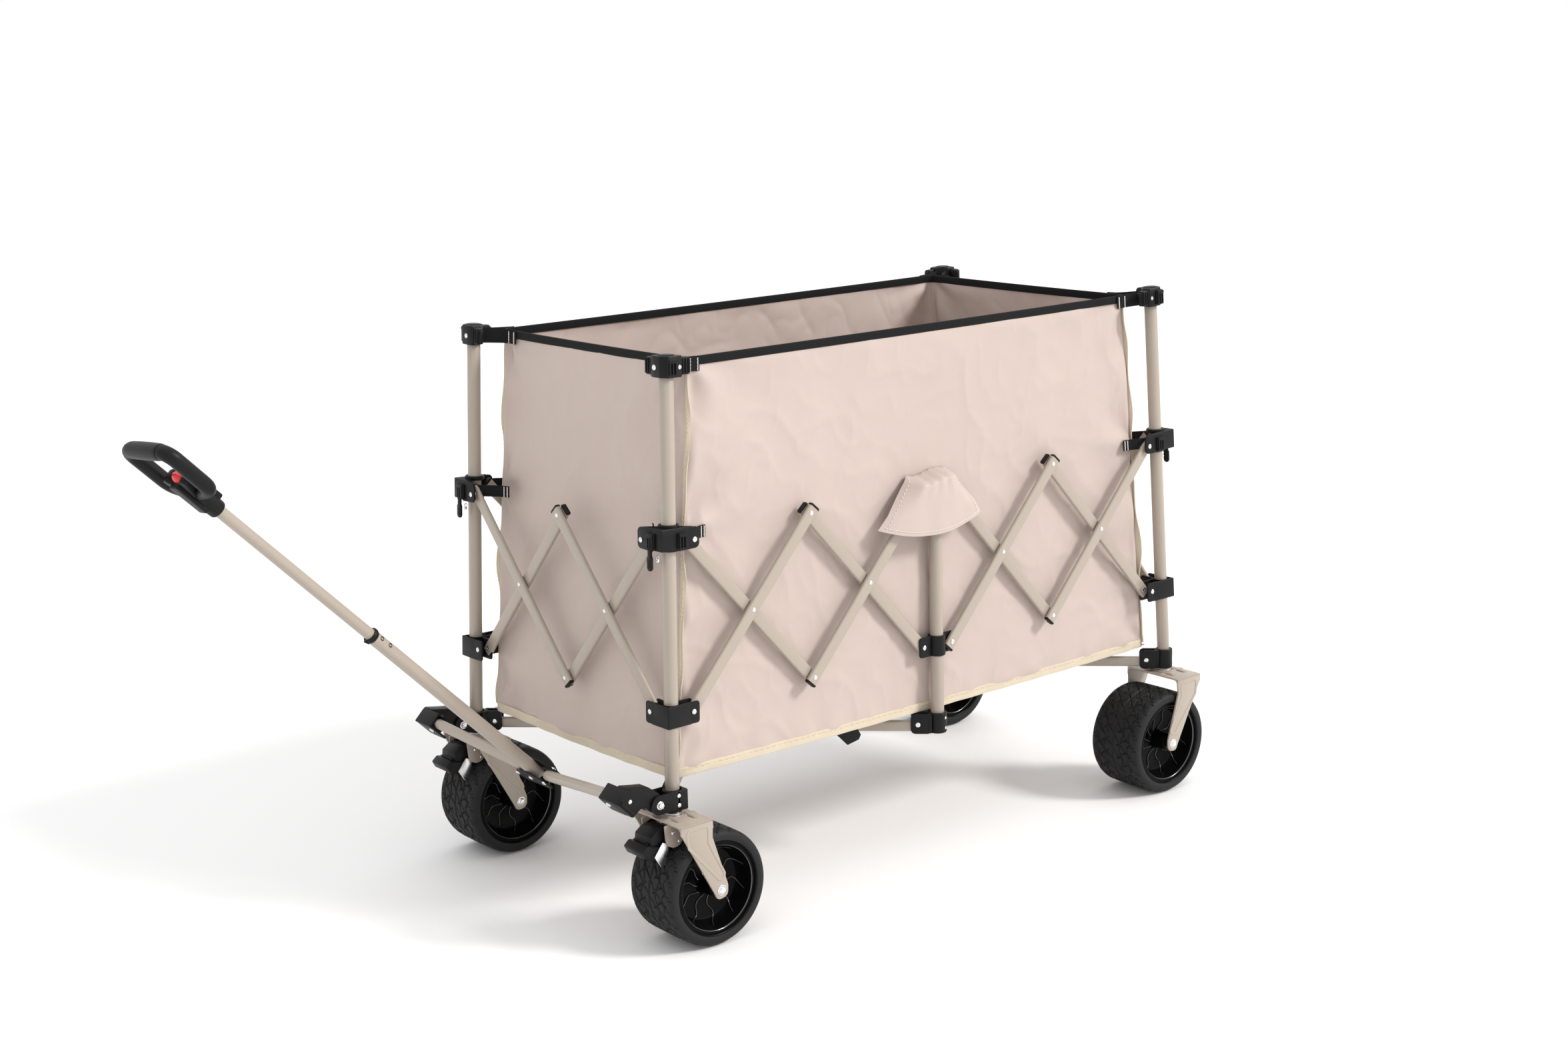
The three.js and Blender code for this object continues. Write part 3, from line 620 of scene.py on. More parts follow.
def fork_piece(name, sx, sy, body, replaced):
    """A fork as a piece of its own; gives back its bolts."""
    foot = foot_place(sx, sy)
    wheel_x = foot.x - sx * TRAIL
    fork, bolts = Shape(), Shape()
    leg = [(foot.x + sx * 30, 199.5, 1), (foot.x + sx * 29.7, 188, 6), (wheel_x + sx * 14, AXLE - 2, 14.5),
           (wheel_x + sx * 8, AXLE - 15, 9), (wheel_x - sx * 12, AXLE - 12, 12),
           (wheel_x - sx * 13, AXLE + 6, 12), (foot.x - sx * 28.5, 172, 9), (foot.x - sx * 30, 199.5, 1)]
    rim = [(foot.x + sx * 20, 192), (foot.x + sx * 17, 165), (wheel_x + sx * 9.5, AXLE + 24),
           (wheel_x + sx * 4, AXLE + 17), (wheel_x - sx * 3, AXLE + 18), (wheel_x - sx * 6.5, AXLE + 25),
           (foot.x - sx * 20, 165), (foot.x - sx * 21, 192)]
    rim = corners([(x, z, 7) for x, z in rim])
    for side in (-1, 1):
        y = foot.y + side * FORK_OUT
        fork.join(upright(corners(leg, 7), foot.y + side * FORK_IN, y, 1.4))
        fork.join(sweep([(x, y, z) for x, z in rim], circle(2.4, 10, 1.008), (0, 1, 0), closed=True))
        bolts.join(dome_bolt((wheel_x, y, AXLE), (0, side, 0), 7.0, 4.6))
        bolts.join(lathe([(5, -1), (5, 3)], along_z((wheel_x, foot.y + side * 53.4, AXLE), (0, side, 0)), 20))
    half = [(200, 10), (201.6, 13), (201.6, 19), (200, 22), (200, 53), (198.2, 58), (194, 60.2), (186, 60.6),
            (186, 56.9), (192, 56.5), (195.4, 54), (196.4, 50)]
    fork.join(upright([(y, z) for z, y in half + mirrored(half)], -30, 30, 1.2,
                      Matrix.Translation(foot) @ spin(90, "Z")))
    for x in (foot.x - 15, foot.x + 15):
        ridge = [(x, foot.y + y, z) for y, z in ((-38, 199.6), (-34, 200.6), (34, 200.6), (38, 199.6))]
        fork.join(sweep(ridge, circle(3.6, 12, 2.16)))
    piece(name, fork, SAND, body, replaced)
    return bolts


def groove(y, a):
    """How deep the tyre's grooves are at a place across its tread and an angle round it, from 0 to 1."""
    lane, v, count, radius = (1 if y > 0 else -1), abs(y), 24, 92
    cut = max(0.0, 1 - v / 2.2)
    for centre, swing, waves, wide in ((18, 3.6, 12, 1.6), (35, 2.6, 24, 1.3)):
        cut = max(cut, 1 - abs(v - centre - swing * math.sin(waves * a + lane)) / wide)
    for slant, low, high in ((0.085, -1, 100), (-0.06, 8, 32)):
        phase = count * (a + lane * slant * 0.12 * v + 0.012 * math.sin(v * 0.35)) / (2 * math.pi)
        near = abs(phase - round(phase)) * 2 * math.pi / count * radius
        if low < v < high:
            cut = max(cut, 1 - near / 1.6)
    return min(1.0, cut * 1.9)


def wheel_meshes():
    around, spokes, steps = 300, 10, 18
    half = [(74.4, 51), (75.4, 53), (78, 54), (83.6, 53.8), (87.6, 52), (90, 48.4), (91.2, 44), (91.6, 38)]
    flat = [(91.6 + 0.4 * math.cos(math.pi * y / 76), y) for y in [38 - 76 * k / 58 for k in range(1, 58)]]
    rows = half + flat + mirrored(half) + [(74.4, -51.0), (71.5, -46), (71.5, 46), (74.4, 51.0)]
    points = []
    for r, y in rows:
        for a in angles(around):
            cut = r - (2.8 * groove(y, a) if r > 89 else 0)
            points.append((cut * math.cos(a), y, cut * math.sin(a)))
    tyre = Shape(points, ring_faces(len(rows), around, True))
    dish = [(16, 21), (18, 17.6), (25, 16.4), (50, 17.2), (57, 20.5), (62.1, 29), (64.2, 40)]
    half = [(6.0, 49), (11, 49), (12.8, 48.2), (13.8, 46), (15.5, 21), (18, 17.6), (25, 16.4), (50, 17.2),
            (57, 20.5), (62.6, 29), (65, 42), (65.8, 48.4), (66.8, 49.8), (67.6, 49), (71.8, 48.8),
            (72.8, 51.2), (73.8, 51.8), (74.3, 50.4)]
    turn = spin(-90, "X")
    hub, ribs = lathe(half + mirrored(half), turn, 120, closed=True), Shape()
    section = corners([(-0.7, -2, 0.3), (0.7, -2, 0.3), (0.55, 0.6, 0.5), (-0.55, 0.6, 0.5)], 3)[::-1]
    for side in (-1, 1):
        for start in angles(spokes):
            path = []
            for u in [i / steps for i in range(steps + 1)]:
                r = 17 + 46.5 * u
                low = next((y0 + (y1 - y0) * (r - r0) / (r1 - r0)
                            for (r0, y0), (r1, y1) in zip(dish, dish[1:]) if r <= r1), 40)
                a = start + side * (0.15 * math.sin(2.2 * u * math.pi - 0.5) + 0.30 * u)
                path.append((r * math.cos(a), side * (low + 1.2), r * math.sin(a)))
            ribs.join(sweep(path, section, (0, side, 0)))
        lip = [(65.9, side * 48.2), (66.3, side * 49.6), (67.0, side * 50.0), (67.4, side * 49.2)]
        ribs.join(lathe(lip[::side], turn, 120, closed=True))
    # The ribs and the lip wear the hub's plastic with a painted highlight: a lighter base colour than the hub
    # itself.
    return (("tyre", mesh_of("tyre_tread", tyre, TYRE, 40), TYRE),
            ("hub", mesh_of("wheel_hub", hub, HUB, 30), HUB),
            ("hub_ribs", mesh_of("wheel_ribs", ribs, HUB_RIB_HIGHLIGHT, 50), HUB_RIB_HIGHLIGHT))


def caster_parts(label, sy):
    """A front fork on its swivel, with the cams, tongues and pedals of its brake."""
    foot, body, brake = foot_place(-1, sy), f"caster_{label}", f"brake_pedal_{label}"
    metal = fork_piece(f"fork_front_{label}", -1, sy, body, [body])
    washers = [(8, 200.2), (15.5, 200.2), (16.2, 200.8), (16.2, 201.8), (15.4, 202.4), (13.2, 202.6),
               (13.2, 203.6), (14.6, 203.8), (14.6, 205.0), (13.8, 205.6), (8, 205.6)]
    metal.join(lathe(washers, Matrix.Translation(foot), 40, closed=True))
    cams, tongues, pedal = Shape(), Shape(), Shape()
    arm = corners([(-588, 168, 7), (-566, 168, 7), (-560, 197, 2), (-590, 197, 2)], 5)
    tongue = corners([(-608, 152, 1), (-596, 133, 2), (-589, 136, 2), (-583, 152, 3), (-580, 166, 3),
                      (-592, 172, 2)], 3)
    disc = [(16 * math.cos(a), 16 * math.sin(a)) for a in angles(24)]
    for side in (-1, 1):
        y = foot.y + side * 27
        cams.join(upright(disc, y, y + side * 4, 1.0, shift(-572, 0, 176)))
        cams.join(upright(arm, y, y + side * 3.0, 0.8))
        metal.join(rivet((-576, y + side * 4, 184), (0, side, 0), 3.0, 1.5))
        metal.join(rivet((-565, y + side * 4, 169), (0, side, 0), 2.6, 1.4))
        tongues.join(upright(tongue, foot.y + side * 25.3, foot.y + side * 26.8, 0.4))
    piece(f"brake_cam_{label}", cams, CAM, body)
    piece(f"caster_metal_{label}", metal, STEEL, body)
    piece(f"brake_tongue_{label}", tongues, STEEL, body)
    upper = corners([(-571, 190, 3), (-596, 190, 4), (-609, 181, 3), (-611, 166, 3), (-603, 158, 4),
                     (-585, 168, 4), (-573, 176, 4)], 4)
    lower = corners([(-597, 166, 3), (-619, 171.5, 4), (-629, 163, 3), (-623, 152, 4), (-604, 144, 4),
                     (-587, 151, 4)], 4)
    pedal.join(upright(upper, foot.y - 21, foot.y + 21, 2.2))
    pedal.join(upright(lower, foot.y - 24.5, foot.y + 24.5, 2.6))
    for x, z, tilt in ((-613, 170.6, -14), (-606, 170.4, -10), (-621, 166.4, -34)):
        pedal.join(block(-1.3, 1.3, -18, 18, 0, 1.8, 1.0, 0.6, shift(x, foot.y, z) @ spin(tilt, "Y")))
    pedal.join(block(-8, 8, -12, 12, 0, 1.6, 3, 0.7, shift(-606, foot.y, 176.6) @ spin(-52, "Y")))
    piece(f"pedal_{label}", pedal, BLACK, brake, [brake])


def mid_post(side, sy):
    body, place = f"post_mid_{side}", shift(0, sy * POST_Y, 0)
    tube = lathe([(9.4, 207), (10.6, 207), (POST_R, 207.6), (POST_R, 616), (10, 618.4), (7, 619.4),
                  (2, 619.8)], place, 48)
    plastic, metal = Shape(), Shape()
    z0, z1 = LOW_Z - 17, LOW_Z + 17
    for way, y, rivet_y in ((-1, 269.3, 272.3), (1, 266.9, 277.7)):
        inner, outer = way * 9, way * (MID_EAR + 10)
        ear = corners([(inner, z0, 1), (outer, z0, 5), (outer, z1, 5), (inner, z1, 1)], 5)
        plastic.join(upright(ear, sy * y, sy * (y + 3), 0.9))
        metal.join(rivet((way * MID_EAR, sy * rivet_y, LOW_Z), (0, sy, 0), 4.3, 2.2))
    plastic.join(lathe([(11.3, z0), (13.6, z0), (14.4, z0 + 0.8), (14.4, z1 - 0.8), (13.6, z1), (11.3, z1)],
                       place, 40, closed=True))
    foot_bracket(plastic, metal, 0, sy)
    piece(f"post_tube_mid_{side}", tube, SAND, body, [body])
    piece(f"post_brackets_mid_{side}", plastic, BLACK, body)
    piece(f"post_rivets_mid_{side}", metal, STEEL, body)


def corner_post(end, sx, side, sy, wheel_parts):
    """A corner post with its cap, brackets, slider, fork or elbow plates, and its wheel."""
    label, foot, plastic = f"{end}_{side}", foot_place(sx, sy), Shape()
    body, wheel = f"post_{label}", f"wheel_{label}"
    low, high = 207 - MID_Z, TOP_Z - MID_Z - 6
    tube = lathe([(9.4, low), (10.6, low), (POST_R, low + 0.6), (POST_R, high - 0.6), (10.6, high),
                  (9.4, high)], post_place(sx, sy), 48, closed=True)
    metal = corner_cap(label, sx, sy, body)
    lower_bracket(plastic, metal, sx, sy)
    foot_bracket(plastic, metal, sx, sy)
    if sx < 0:
        elbow_cheeks(plastic, metal, sy)
    else:
        metal.join(fork_piece(f"fork_{label}", sx, sy, body, []))
        weld = [(10, 199), (16, 199.5), (14, 201), (12, 204), (11, 208), (10, 208)]
        tube.join(lathe(weld, Matrix.Translation(foot), 40, closed=True))
    piece(f"post_tube_{label}", tube, SAND, body, [body])
    piece(f"post_brackets_{label}", plastic, BLACK, body)
    piece(f"post_rivets_{label}", metal, STEEL, body)
    corner_slider(label, sx, sy)
    for name, mesh, look in wheel_parts:
        piece(f"{name}_{label}", mesh, look, wheel, [wheel] if name == "tyre" else (),
              shift(foot.x - sx * TRAIL, foot.y, AXLE))


def posts_and_wheels():
    wheel_parts = wheel_meshes()
    for end, sx in ENDS:
        for side, sy in SIDES:
            corner_post(end, sx, side, sy, wheel_parts)
    for side, sy in SIDES:
        caster_parts(side, sy)
        mid_post(side, sy)


# ---- scissor links ----
def link_meshes():
    half_w, half_t = 10.0, 3.75
    xs = [-10.4, -10] + [-6 + (LINK + 12) * k / 12 for k in range(13)] + [LINK + 10, LINK + 10.4]
    tube = sweep([(x, 0, 0) for x in xs], oblong(-half_w, -half_t, half_w, half_t, 2.9)[::-1])
    cap, metal = Shape(), Shape()
    for x, way in ((0, -1), (LINK, 1)):
        tip, root = x + way * 14, x + way * 9.8
        shell = corners([(tip, -9.6, 3.4), (tip, 9.6, 3.4), (root, 10.2, 0.4), (root, -10.2, 0.4)], 5)
        cap.join(plate(shell, 8.0, 1.3, shift(0, 0, -4.0)))
    for x, r in ((0, 3.6), (LINK, 3.6), (LINK / 2, 3.4)):
        for way in (1, -1):
            metal.join(rivet((x, 0, way * half_t), (0, 0, way), r, 1.2))
    return (("tube", mesh_of("link_tube", tube, SAND, 50), SAND),
            ("caps", mesh_of("link_caps", cap, BLACK), BLACK),
            ("rivets", mesh_of("link_rivets", metal, STEEL), STEEL))


def links():
    parts = link_meshes()
    side_starts = (-MID_EAR - 2 * PITCH, -MID_EAR - PITCH, MID_EAR, MID_EAR + PITCH)
    walls = [(side, Vector((0, sy, 0)), side_starts, SIDE_OUT, SIDE_IN) for side, sy in SIDES]
    walls += [(end, Vector((sx, 0, 0)), (-PITCH, 0), END_OUT, END_IN) for end, sx in ENDS]
    for label, normal, starts, outer, inner in walls:
        flat = Vector((1, 0, 0)) if normal.y else Vector((0, 1, 0))
        for i, u in enumerate(starts):
            for way, start, depth, word in ((1, u, outer, "rising"), (-1, u + PITCH, inner, "falling")):
                origin = flat * start + normal * depth + Vector((0, 0, LOW_Z))
                x = flat * (way * math.cos(THETA)) + Vector((0, 0, math.sin(THETA)))
                body = f"link_{label}_{i + 1}_{word}"
                for name, mesh, look in parts:
                    piece(f"{body}_{name}", mesh, look, body, [body] if name == "tube" else (),
                          frame_at(origin, x, normal))


# ---- base bars and hubs ----
def base():
    section = oblong(-9, -4.7, 9, 4.7, 3.6)[::-1]
    lever = corners([(10, 211, 1), (76, 211, 6.9), (76, 225, 6.9), (10, 225, 1)], 6)
    for end, sx in ENDS:
        hub, centre, metal = f"base_hub_{end}", shift(sx * HUB_X, 0, 0), Shape()
        drum = lathe([(3, 208), (17, 208), (19.4, 209.5), (20, 212), (20, 224), (19.2, 226.6), (16, 227.6),
                      (3, 227.6)], centre, 40, closed=True)
        metal.join(rivet((0, 0, 227.6), (0, 0, 1), 5, 2), centre)
        metal.join(rivet((0, 0, 208), (0, 0, -1), 5, 2), centre)
        for key, ex, ey in base_bars(sx):
            foot, name = foot_place(ex, ey), f"base_bar_{end}_{key}"
            to_hub = Vector((sx * HUB_X, 0, 0)) - foot
            angle, length = math.atan2(to_hub.y, to_hub.x), to_hub.length - 32 - 66
            at = shift(foot.x, foot.y, BASE_Z) @ Matrix.Rotation(angle, 4, "Z")
            path = [(26 + (length + 12) * k / 8, 8, 0) for k in range(9)]
            piece(f"{name}_tube", sweep(path, section, (0, 1, 0)).carried(at), SAND, name, [name])
            caps = Shape()
            for x in (25, length + 39):
                caps.join(upright(oblong(x - 4, -9.3, x + 4, 9.3, 3, 4), 3, 12.9, 1.6, at))
            piece(f"{name}_caps", caps, BLACK, name)
            arm = centre @ Matrix.Rotation(angle + math.pi, 4, "Z")
            drum.join(upright(lever, 2.1, 9.1, 1.0, arm))
            metal.join(rivet((66, 9.1, BASE_Z), (0, 1, 0), 4, 1.6), arm)
        piece(f"{hub}_body", drum, BLACK, hub, [hub])
        piece(f"{hub}_rivets", metal, STEEL, hub)


# ---- pull bar ----
def bar_lathe(profile, start=0.0, count=40, closed=False):
    """Turns a profile about the pull bar's middle line, from a start along it."""
    return lathe(profile, BAR @ shift(start, 0, PLANE) @ spin(90, "Y"), count, closed)


def bar_plate(outline, low, high, bevel=0.8):
    """An outline in the pull bar's plane, between two heights from its middle line."""
    return plate(outline, high - low, bevel, BAR @ shift(0, 0, PLANE + low))


def elbow(side, way):
    """An elbow of the pull bar; way points from it to the middle."""
    name, body, metal = f"elbow_{side}", f"pull_elbow_{side}", Shape()
    arm = corners([(-13.5, 13.5, 13), (-13.5, -13.5, 13), (14, -15, 5), (23, -22, 4), (26, -40, 3),
                   (63, -40, 2), (66, -12, 3), (50, -1, 8), (34, 10.6, 6), (10, 13.8, 6)], 6)
    s = upright(arm, way * 264, way * 288, 1.6, BAR)
    wing = corners([(28, way * 236, 4), (64, way * 238, 3), (64, way * 276, 3), (28, way * 276, 3)], 4)
    s.join(bar_plate(wing, -13.6, -10.2, 0.9))
    s.join(bar_plate(wing, 10.2, 13.4, 0.9))
    s.join(bar_plate(oblong(63, way * 240, 66.4, way * 288, 1.5, 4), -13.6, 13.4, 1.4))
    rib = corners([(27, -37, 2), (60, -37, 2), (61, -32, 2), (28, -32, 2)], 3)
    s.join(upright(rib, way * 262, way * 290, 0.8, BAR))
    for height, up in ((13.4, 1), (-13.6, -1)):
        metal.join(rivet((51, way * 252, PLANE + height), (0, 0, up), 5, 2.2), BAR)
    metal.join(rivet((48, way * 288, -24), (0, way, 0), 3.4, 1.6), BAR)
    piece(name, s, BLACK, body, [body])
    piece(f"{name}_rivets", metal, STEEL, body)


def pull_bar():
    for side, sy in SIDES:
        elbow(side, -sy)
        name = f"pull_half_bar_{side}"
        a, b = Vector((53, -sy * 238, PLANE)), Vector((14, -sy * 38, PLANE))
        tip, n = [(0.6, -10.5), (4.4, -9.8), (7.4, -6.6), (8.5, -2)], (b - a).length
        rows = tip + [(8.5, 0), (8.5, n / 2), (8.5, n)] + [(r, n - h) for r, h in reversed(tip)]
        piece(f"half_bar_{side}", lathe(rows, BAR @ along_z(a, b - a), 40), SAND, name, [name])
    tee = corners([(0, -46, 5), (10, -46, 4), (24, -30, 8), (30, -14, 6), (30, 14, 6), (24, 30, 8),
                   (10, 46, 4), (0, 46, 5), (-7, 30, 6), (-7, -30, 6)], 5)
    black, metal = bar_plate(tee, -13.4, -11.0), Shape()
    black.join(bar_plate(tee, 11.0, 13.4))
    for y in (-37, 0, 37):
        for way in (1, -1):
            metal.join(rivet((13, y, PLANE + way * 13.4), (0, 0, way), 4.2, 2.0), BAR)
    black.join(bar_lathe([(9.7, 396), (11.2, 396), (11.6, 398), (12.3, 398.8), (12.5, 400), (12.5, 403.2),
                          (11.8, 404.4), (9.7, 404.4)], count=48, closed=True))
    catch = corners([(397, -40, 1.5), (404, -41.5, 1.5), (404, -36, 1), (397, -36, 1)], 3)
    black.join(upright(catch, -4, 4, 0.8, BAR))
    for d in (388, 370):
        black.join(lathe([(0.3, 10.7), (3.2, 10.9), (3.5, 11.25), (2.6, 11.3), (2.4, 10.9)],
                         BAR @ along_z((d, 0, PLANE), (0, 0.86, 0.5)), 20))
    shell = bar_lathe([(0.6, -13), (5, -12.4), (9, -9), (11, -3), (11, 3), (11, 200), (11, 386), (9.8, 386.4),
                       (9.8, 30), (0.6, 30)], 13, 48)
    piece("lower_tube", shell, SAND, "pull_tube_lower", ["pull_tube_lower"])
    piece("tee_plate", black, BLACK, "pull_tube_lower")
    piece("tee_rivets", metal, STEEL, "pull_tube_lower")
    upper = [(8.2, 346), (9.0, 346), (9.2, 347), (9.2, 500), (9.2, 734), (8.2, 734)]
    piece("upper_tube", bar_lathe(upper, count=48, closed=True), SAND, "pull_tube_upper")
    grip()


def grip():
    """The D-shaped grip, turned a few degrees about the tube, and its release button."""
    loop, turn_by, steps = Shape(), 6, 24
    for way in (1, -1):
        path = corners([(760, way * 6, 4), (776, way * 56, 20), (859, way * 58, 17), (859, way * 12, 4)], 9)
        loop.join(sweep([(d, y, PLANE) for d, y in path], circle(10.8, 22, 11.4)), BAR)
    bulge = [(859, 42 * (-1 + i / (steps / 2)), PLANE) for i in range(steps + 1)]
    loop.join(sweep(bulge, circle(12.0, 28, 12.4), scale=lambda t: (
        1.0 + 0.055 * math.sin(math.pi * t) - 0.05 * (abs(2 * t - 1) ** 12))), BAR)
    neck = corners([(743, -12, 4), (762, -15, 6), (784, -24, 6), (802, -33, 6), (803, -18, 4), (795, -9, 4),
                    (795, 9, 4), (803, 18, 4), (802, 33, 6), (784, 24, 6), (762, 15, 6), (743, 12, 4)], 5)
    loop.join(bar_plate(neck, -11.5, 11.5, 3.6))
    collar = [(9.3, 720), (12.4, 720), (13.4, 721.5), (13.8, 726), (14.2, 748), (13.4, 758), (9.3, 758)]
    loop.join(bar_lathe(collar, closed=True))
    for start, end, thin, wide, low, high in ((730, 770, 8, 9, 8, 19.5), (736, 796, 10, 12, -17.5, -8)):
        cover = corners([(start, -thin, 3), (end, -wide, 3), (end, wide, 3), (start, thin, 3)], 5)
        loop.join(bar_plate(cover, low, high, 2.2))
    twist = shift(0, 0, PLANE) @ spin(turn_by, "X") @ shift(0, 0, -PLANE)
    loop = loop.carried(BAR @ twist @ BAR.inverted())
    piece("grip_body", loop, BLACK, "pull_tube_upper", ["pull_tube_upper"])
    profile = [(9.6, 783), (10, 790), (10, 797), (9.2, 801), (7, 804.4), (4, 806.4), (0.6, 807)]
    flat = BAR @ shift(0, 0, PLANE) @ mirror(1, 1.25, 0.85)
    piece("red_release", lathe(profile, flat @ spin(90, "Y"), 40), RED, "grip_button", ["grip_button"])


# ---- bag ----
def ease(t):
    t = max(0.0, min(1.0, t))
    return t * t * (3 - 2 * t)


def wall_point(u, z, half, other, seed):
    """A point of a wall: u from -1 to 1 along it, out along +Y before it is turned to its side."""
    k = (z - BAG_Z0) / (BAG_Z1 - BAG_Z0)
    straight = half[0] + (half[1] - half[0]) * k - CORNER_R
    depth = other[0] + (other[1] - other[0]) * k
    reach = straight + CORNER_R * math.pi / 4
    s = u * reach
    sign = 1 if s > 0 else -1
    a = max(0.0, abs(s) - straight) / CORNER_R
    off = relief(s, z, reach, seed)
    x = s if a == 0 else sign * (straight + CORNER_R * math.sin(a))
    return Vector((x + sign * math.sin(a) * off, depth - CORNER_R + (CORNER_R + off) * math.cos(a), z))


def crease(x, y, seed, height, power):
    """A sharp fold where a noise passes through zero."""
    c = abs(noise.noise(Vector((x, y, seed))))
    return height * (1 - c * 2) ** power if c < 0.5 else 0


def relief(s, z, reach, seed):
    """How far the cloth stands out of its plane, in millimetres."""
    edge = reach - abs(s)
    p = Vector((s * 0.001, z * 0.001, seed * 3.7))
    off = 5.0 * noise.noise(p * 3.2) + 1.7 * noise.noise(p * 8.5 + Vector((5, 1, 0)))
    off += 2.2 * noise.noise(Vector((s * 0.0125, z * 0.0034, seed))) + 0.25 * noise.noise(p * 40)
    off += crease(s * 0.011 + z * 0.007, z * 0.011 - s * 0.005, seed + 4.4, 1.7, 3)
    off += crease(s * 0.016 - z * 0.012, z * 0.013 + s * 0.009, seed + 9.1, 0.9, 4)
    for pull_z, strength, spread in ((BAG_Z1 - 4, 7.0, 120), (HIGH_Z, 7.0, 100), (LOW_Z, 4.0, 90),
                                     (BAG_Z0 + 8, 5.0, 90)):
        r, a = math.hypot(edge, z - pull_z), math.atan2(z - pull_z, edge + 1e-6)
        wobble = 0.6 * noise.noise(Vector((r * 0.012, seed, pull_z * 0.01)))
        off += strength * math.sin(5.2 * a + seed + wobble * 3) * math.exp(-r / spread) * ease(r / 40)
    wave = math.sin(z * 0.043 + 1.7 * math.sin(z * 0.011 + seed) + seed)
    off += 6.5 * math.exp(-edge / 46) * wave * ease(edge / 16)
    wave = math.sin(s * 0.085 + 2.6 * noise.noise(Vector((s * 0.008, seed, 1))))
    off += 2.6 * math.exp(-(z - BAG_Z0) / 30) * wave
    return off * ease(edge / 20) * ease((BAG_Z1 - z) / 30) * ease((z - BAG_Z0) / 16)


def grid_sheet(points, columns, thick):
    """A closed thin solid from a grid of outer points, thickened inwards along the grid's normals."""
    count, rows = len(points), len(points) // columns
    inner, faces = [], []
    for j in range(rows):
        for i in range(columns):
            du = points[j * columns + min(i + 1, columns - 1)] - points[j * columns + max(i - 1, 0)]
            dv = points[min(j + 1, rows - 1) * columns + i] - points[max(j - 1, 0) * columns + i]
            inner.append(points[j * columns + i] - du.cross(dv).normalized() * thick)
            if i < columns - 1 and j < rows - 1:
                a = j * columns + i
                b = count + a
                faces += [(a, a + 1, a + columns + 1, a + columns), (b, b + columns, b + columns + 1, b + 1)]
    rim = (list(range(columns)) + [j * columns + columns - 1 for j in range(1, rows)]
           + [(rows - 1) * columns + i for i in range(columns - 2, -1, -1)]
           + [j * columns for j in range(rows - 2, 0, -1)])
    faces += [(a, count + a, count + b, b) for a, b in zip(rim, rim[1:] + rim[:1])]
    return Shape(points + inner, faces)


def cloth(name, points, columns, out, thick, look, body, replaces=()):
    """Makes a sheet from a grid of points whose face looks along out; gives the piece and its flat size."""
    rows = len(points) // columns
    a, b, c = points[0], points[1], points[columns]
    if (b - a).cross(c - a).dot(out) <= 0:
        points = [points[j * columns + i] for j in range(rows) for i in reversed(range(columns))]
    width = sum((q - p).length for j in range(rows)
                for p, q in zip(points[j * columns:], points[j * columns + 1:(j + 1) * columns])) / rows
    height = sum((q - p).length for p, q in zip(points, points[columns:])) / columns
    made = piece(name, grid_sheet(points, columns, thick), look, body, replaces, sharp=60)
    return made, (width * MM, height * MM)


def bag_wall(name, turn, half, other, seed, body, keep, columns):
    """One wall with its black rim, its cream hem and their stitches; turn carries +Y to the wall's side."""
    rows, steps = 118, 90
    top, bottom = BAG_Z1 - 3, BAG_Z0 + 2

    def at(u, z, off=0.0):
        k = (z - BAG_Z0) / (BAG_Z1 - BAG_Z0)
        p = wall_point(u, z, half, other, seed)
        p.z = z - (1 - u * u) * (ease((k - 0.75) / 0.25) + 3.0 * ease((0.2 - k) / 0.2))
        p.y += off
        return turn @ p

    points = [at(-1 + 2 * i / (columns - 1), bottom + (top - bottom) * j / (rows - 1))
              for j in range(rows) for i in range(columns)]
    outside = points[0] - Vector((0, 0, 560))
    wall, size = cloth(f"bag_{name}", points, columns, outside, THICK, FABRIC, body, ["bag"])
    us = [-1 + 2 * i / steps for i in range(steps + 1)]
    rim = corners([(-2.2, -8.0, 1.6), (2.2, -8.0, 1.6), (2.4, 5.6, 2.1), (-2.4, 5.6, 2.1)], 3)[::-1]
    hem = corners([(-1.9, -7.5, 1.2), (1.9, -7.5, 1.2), (1.5, 7.5, 1.1), (-1.5, 7.5, 1.1)], 3)[::-1]
    stitches, out = Shape(), turn.to_3x3() @ Vector((0, 1, 0))
    seam = [at(u, BAG_Z0 + 9.5, 1.6) for u in us]
    for a, b in zip(seam, seam[1:]):
        stitches.join(thread_line(a, b, out, 3.1, 0.8, 0.36, 0.9))
    parts = [wall,
             piece(f"bag_rim_{name}", sweep([at(u, BAG_Z1 - 5, -THICK / 2) for u in us], rim), WEBBING, body),
             piece(f"bag_hem_{name}", sweep([at(u, BAG_Z0 + 6, -THICK / 2) for u in us], hem), BINDING, body),
             piece(f"bag_hem_stitches_{name}", stitches, CREAM_THREAD, body)]
    for p in parts:
        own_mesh(p)
    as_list(parts[1:])


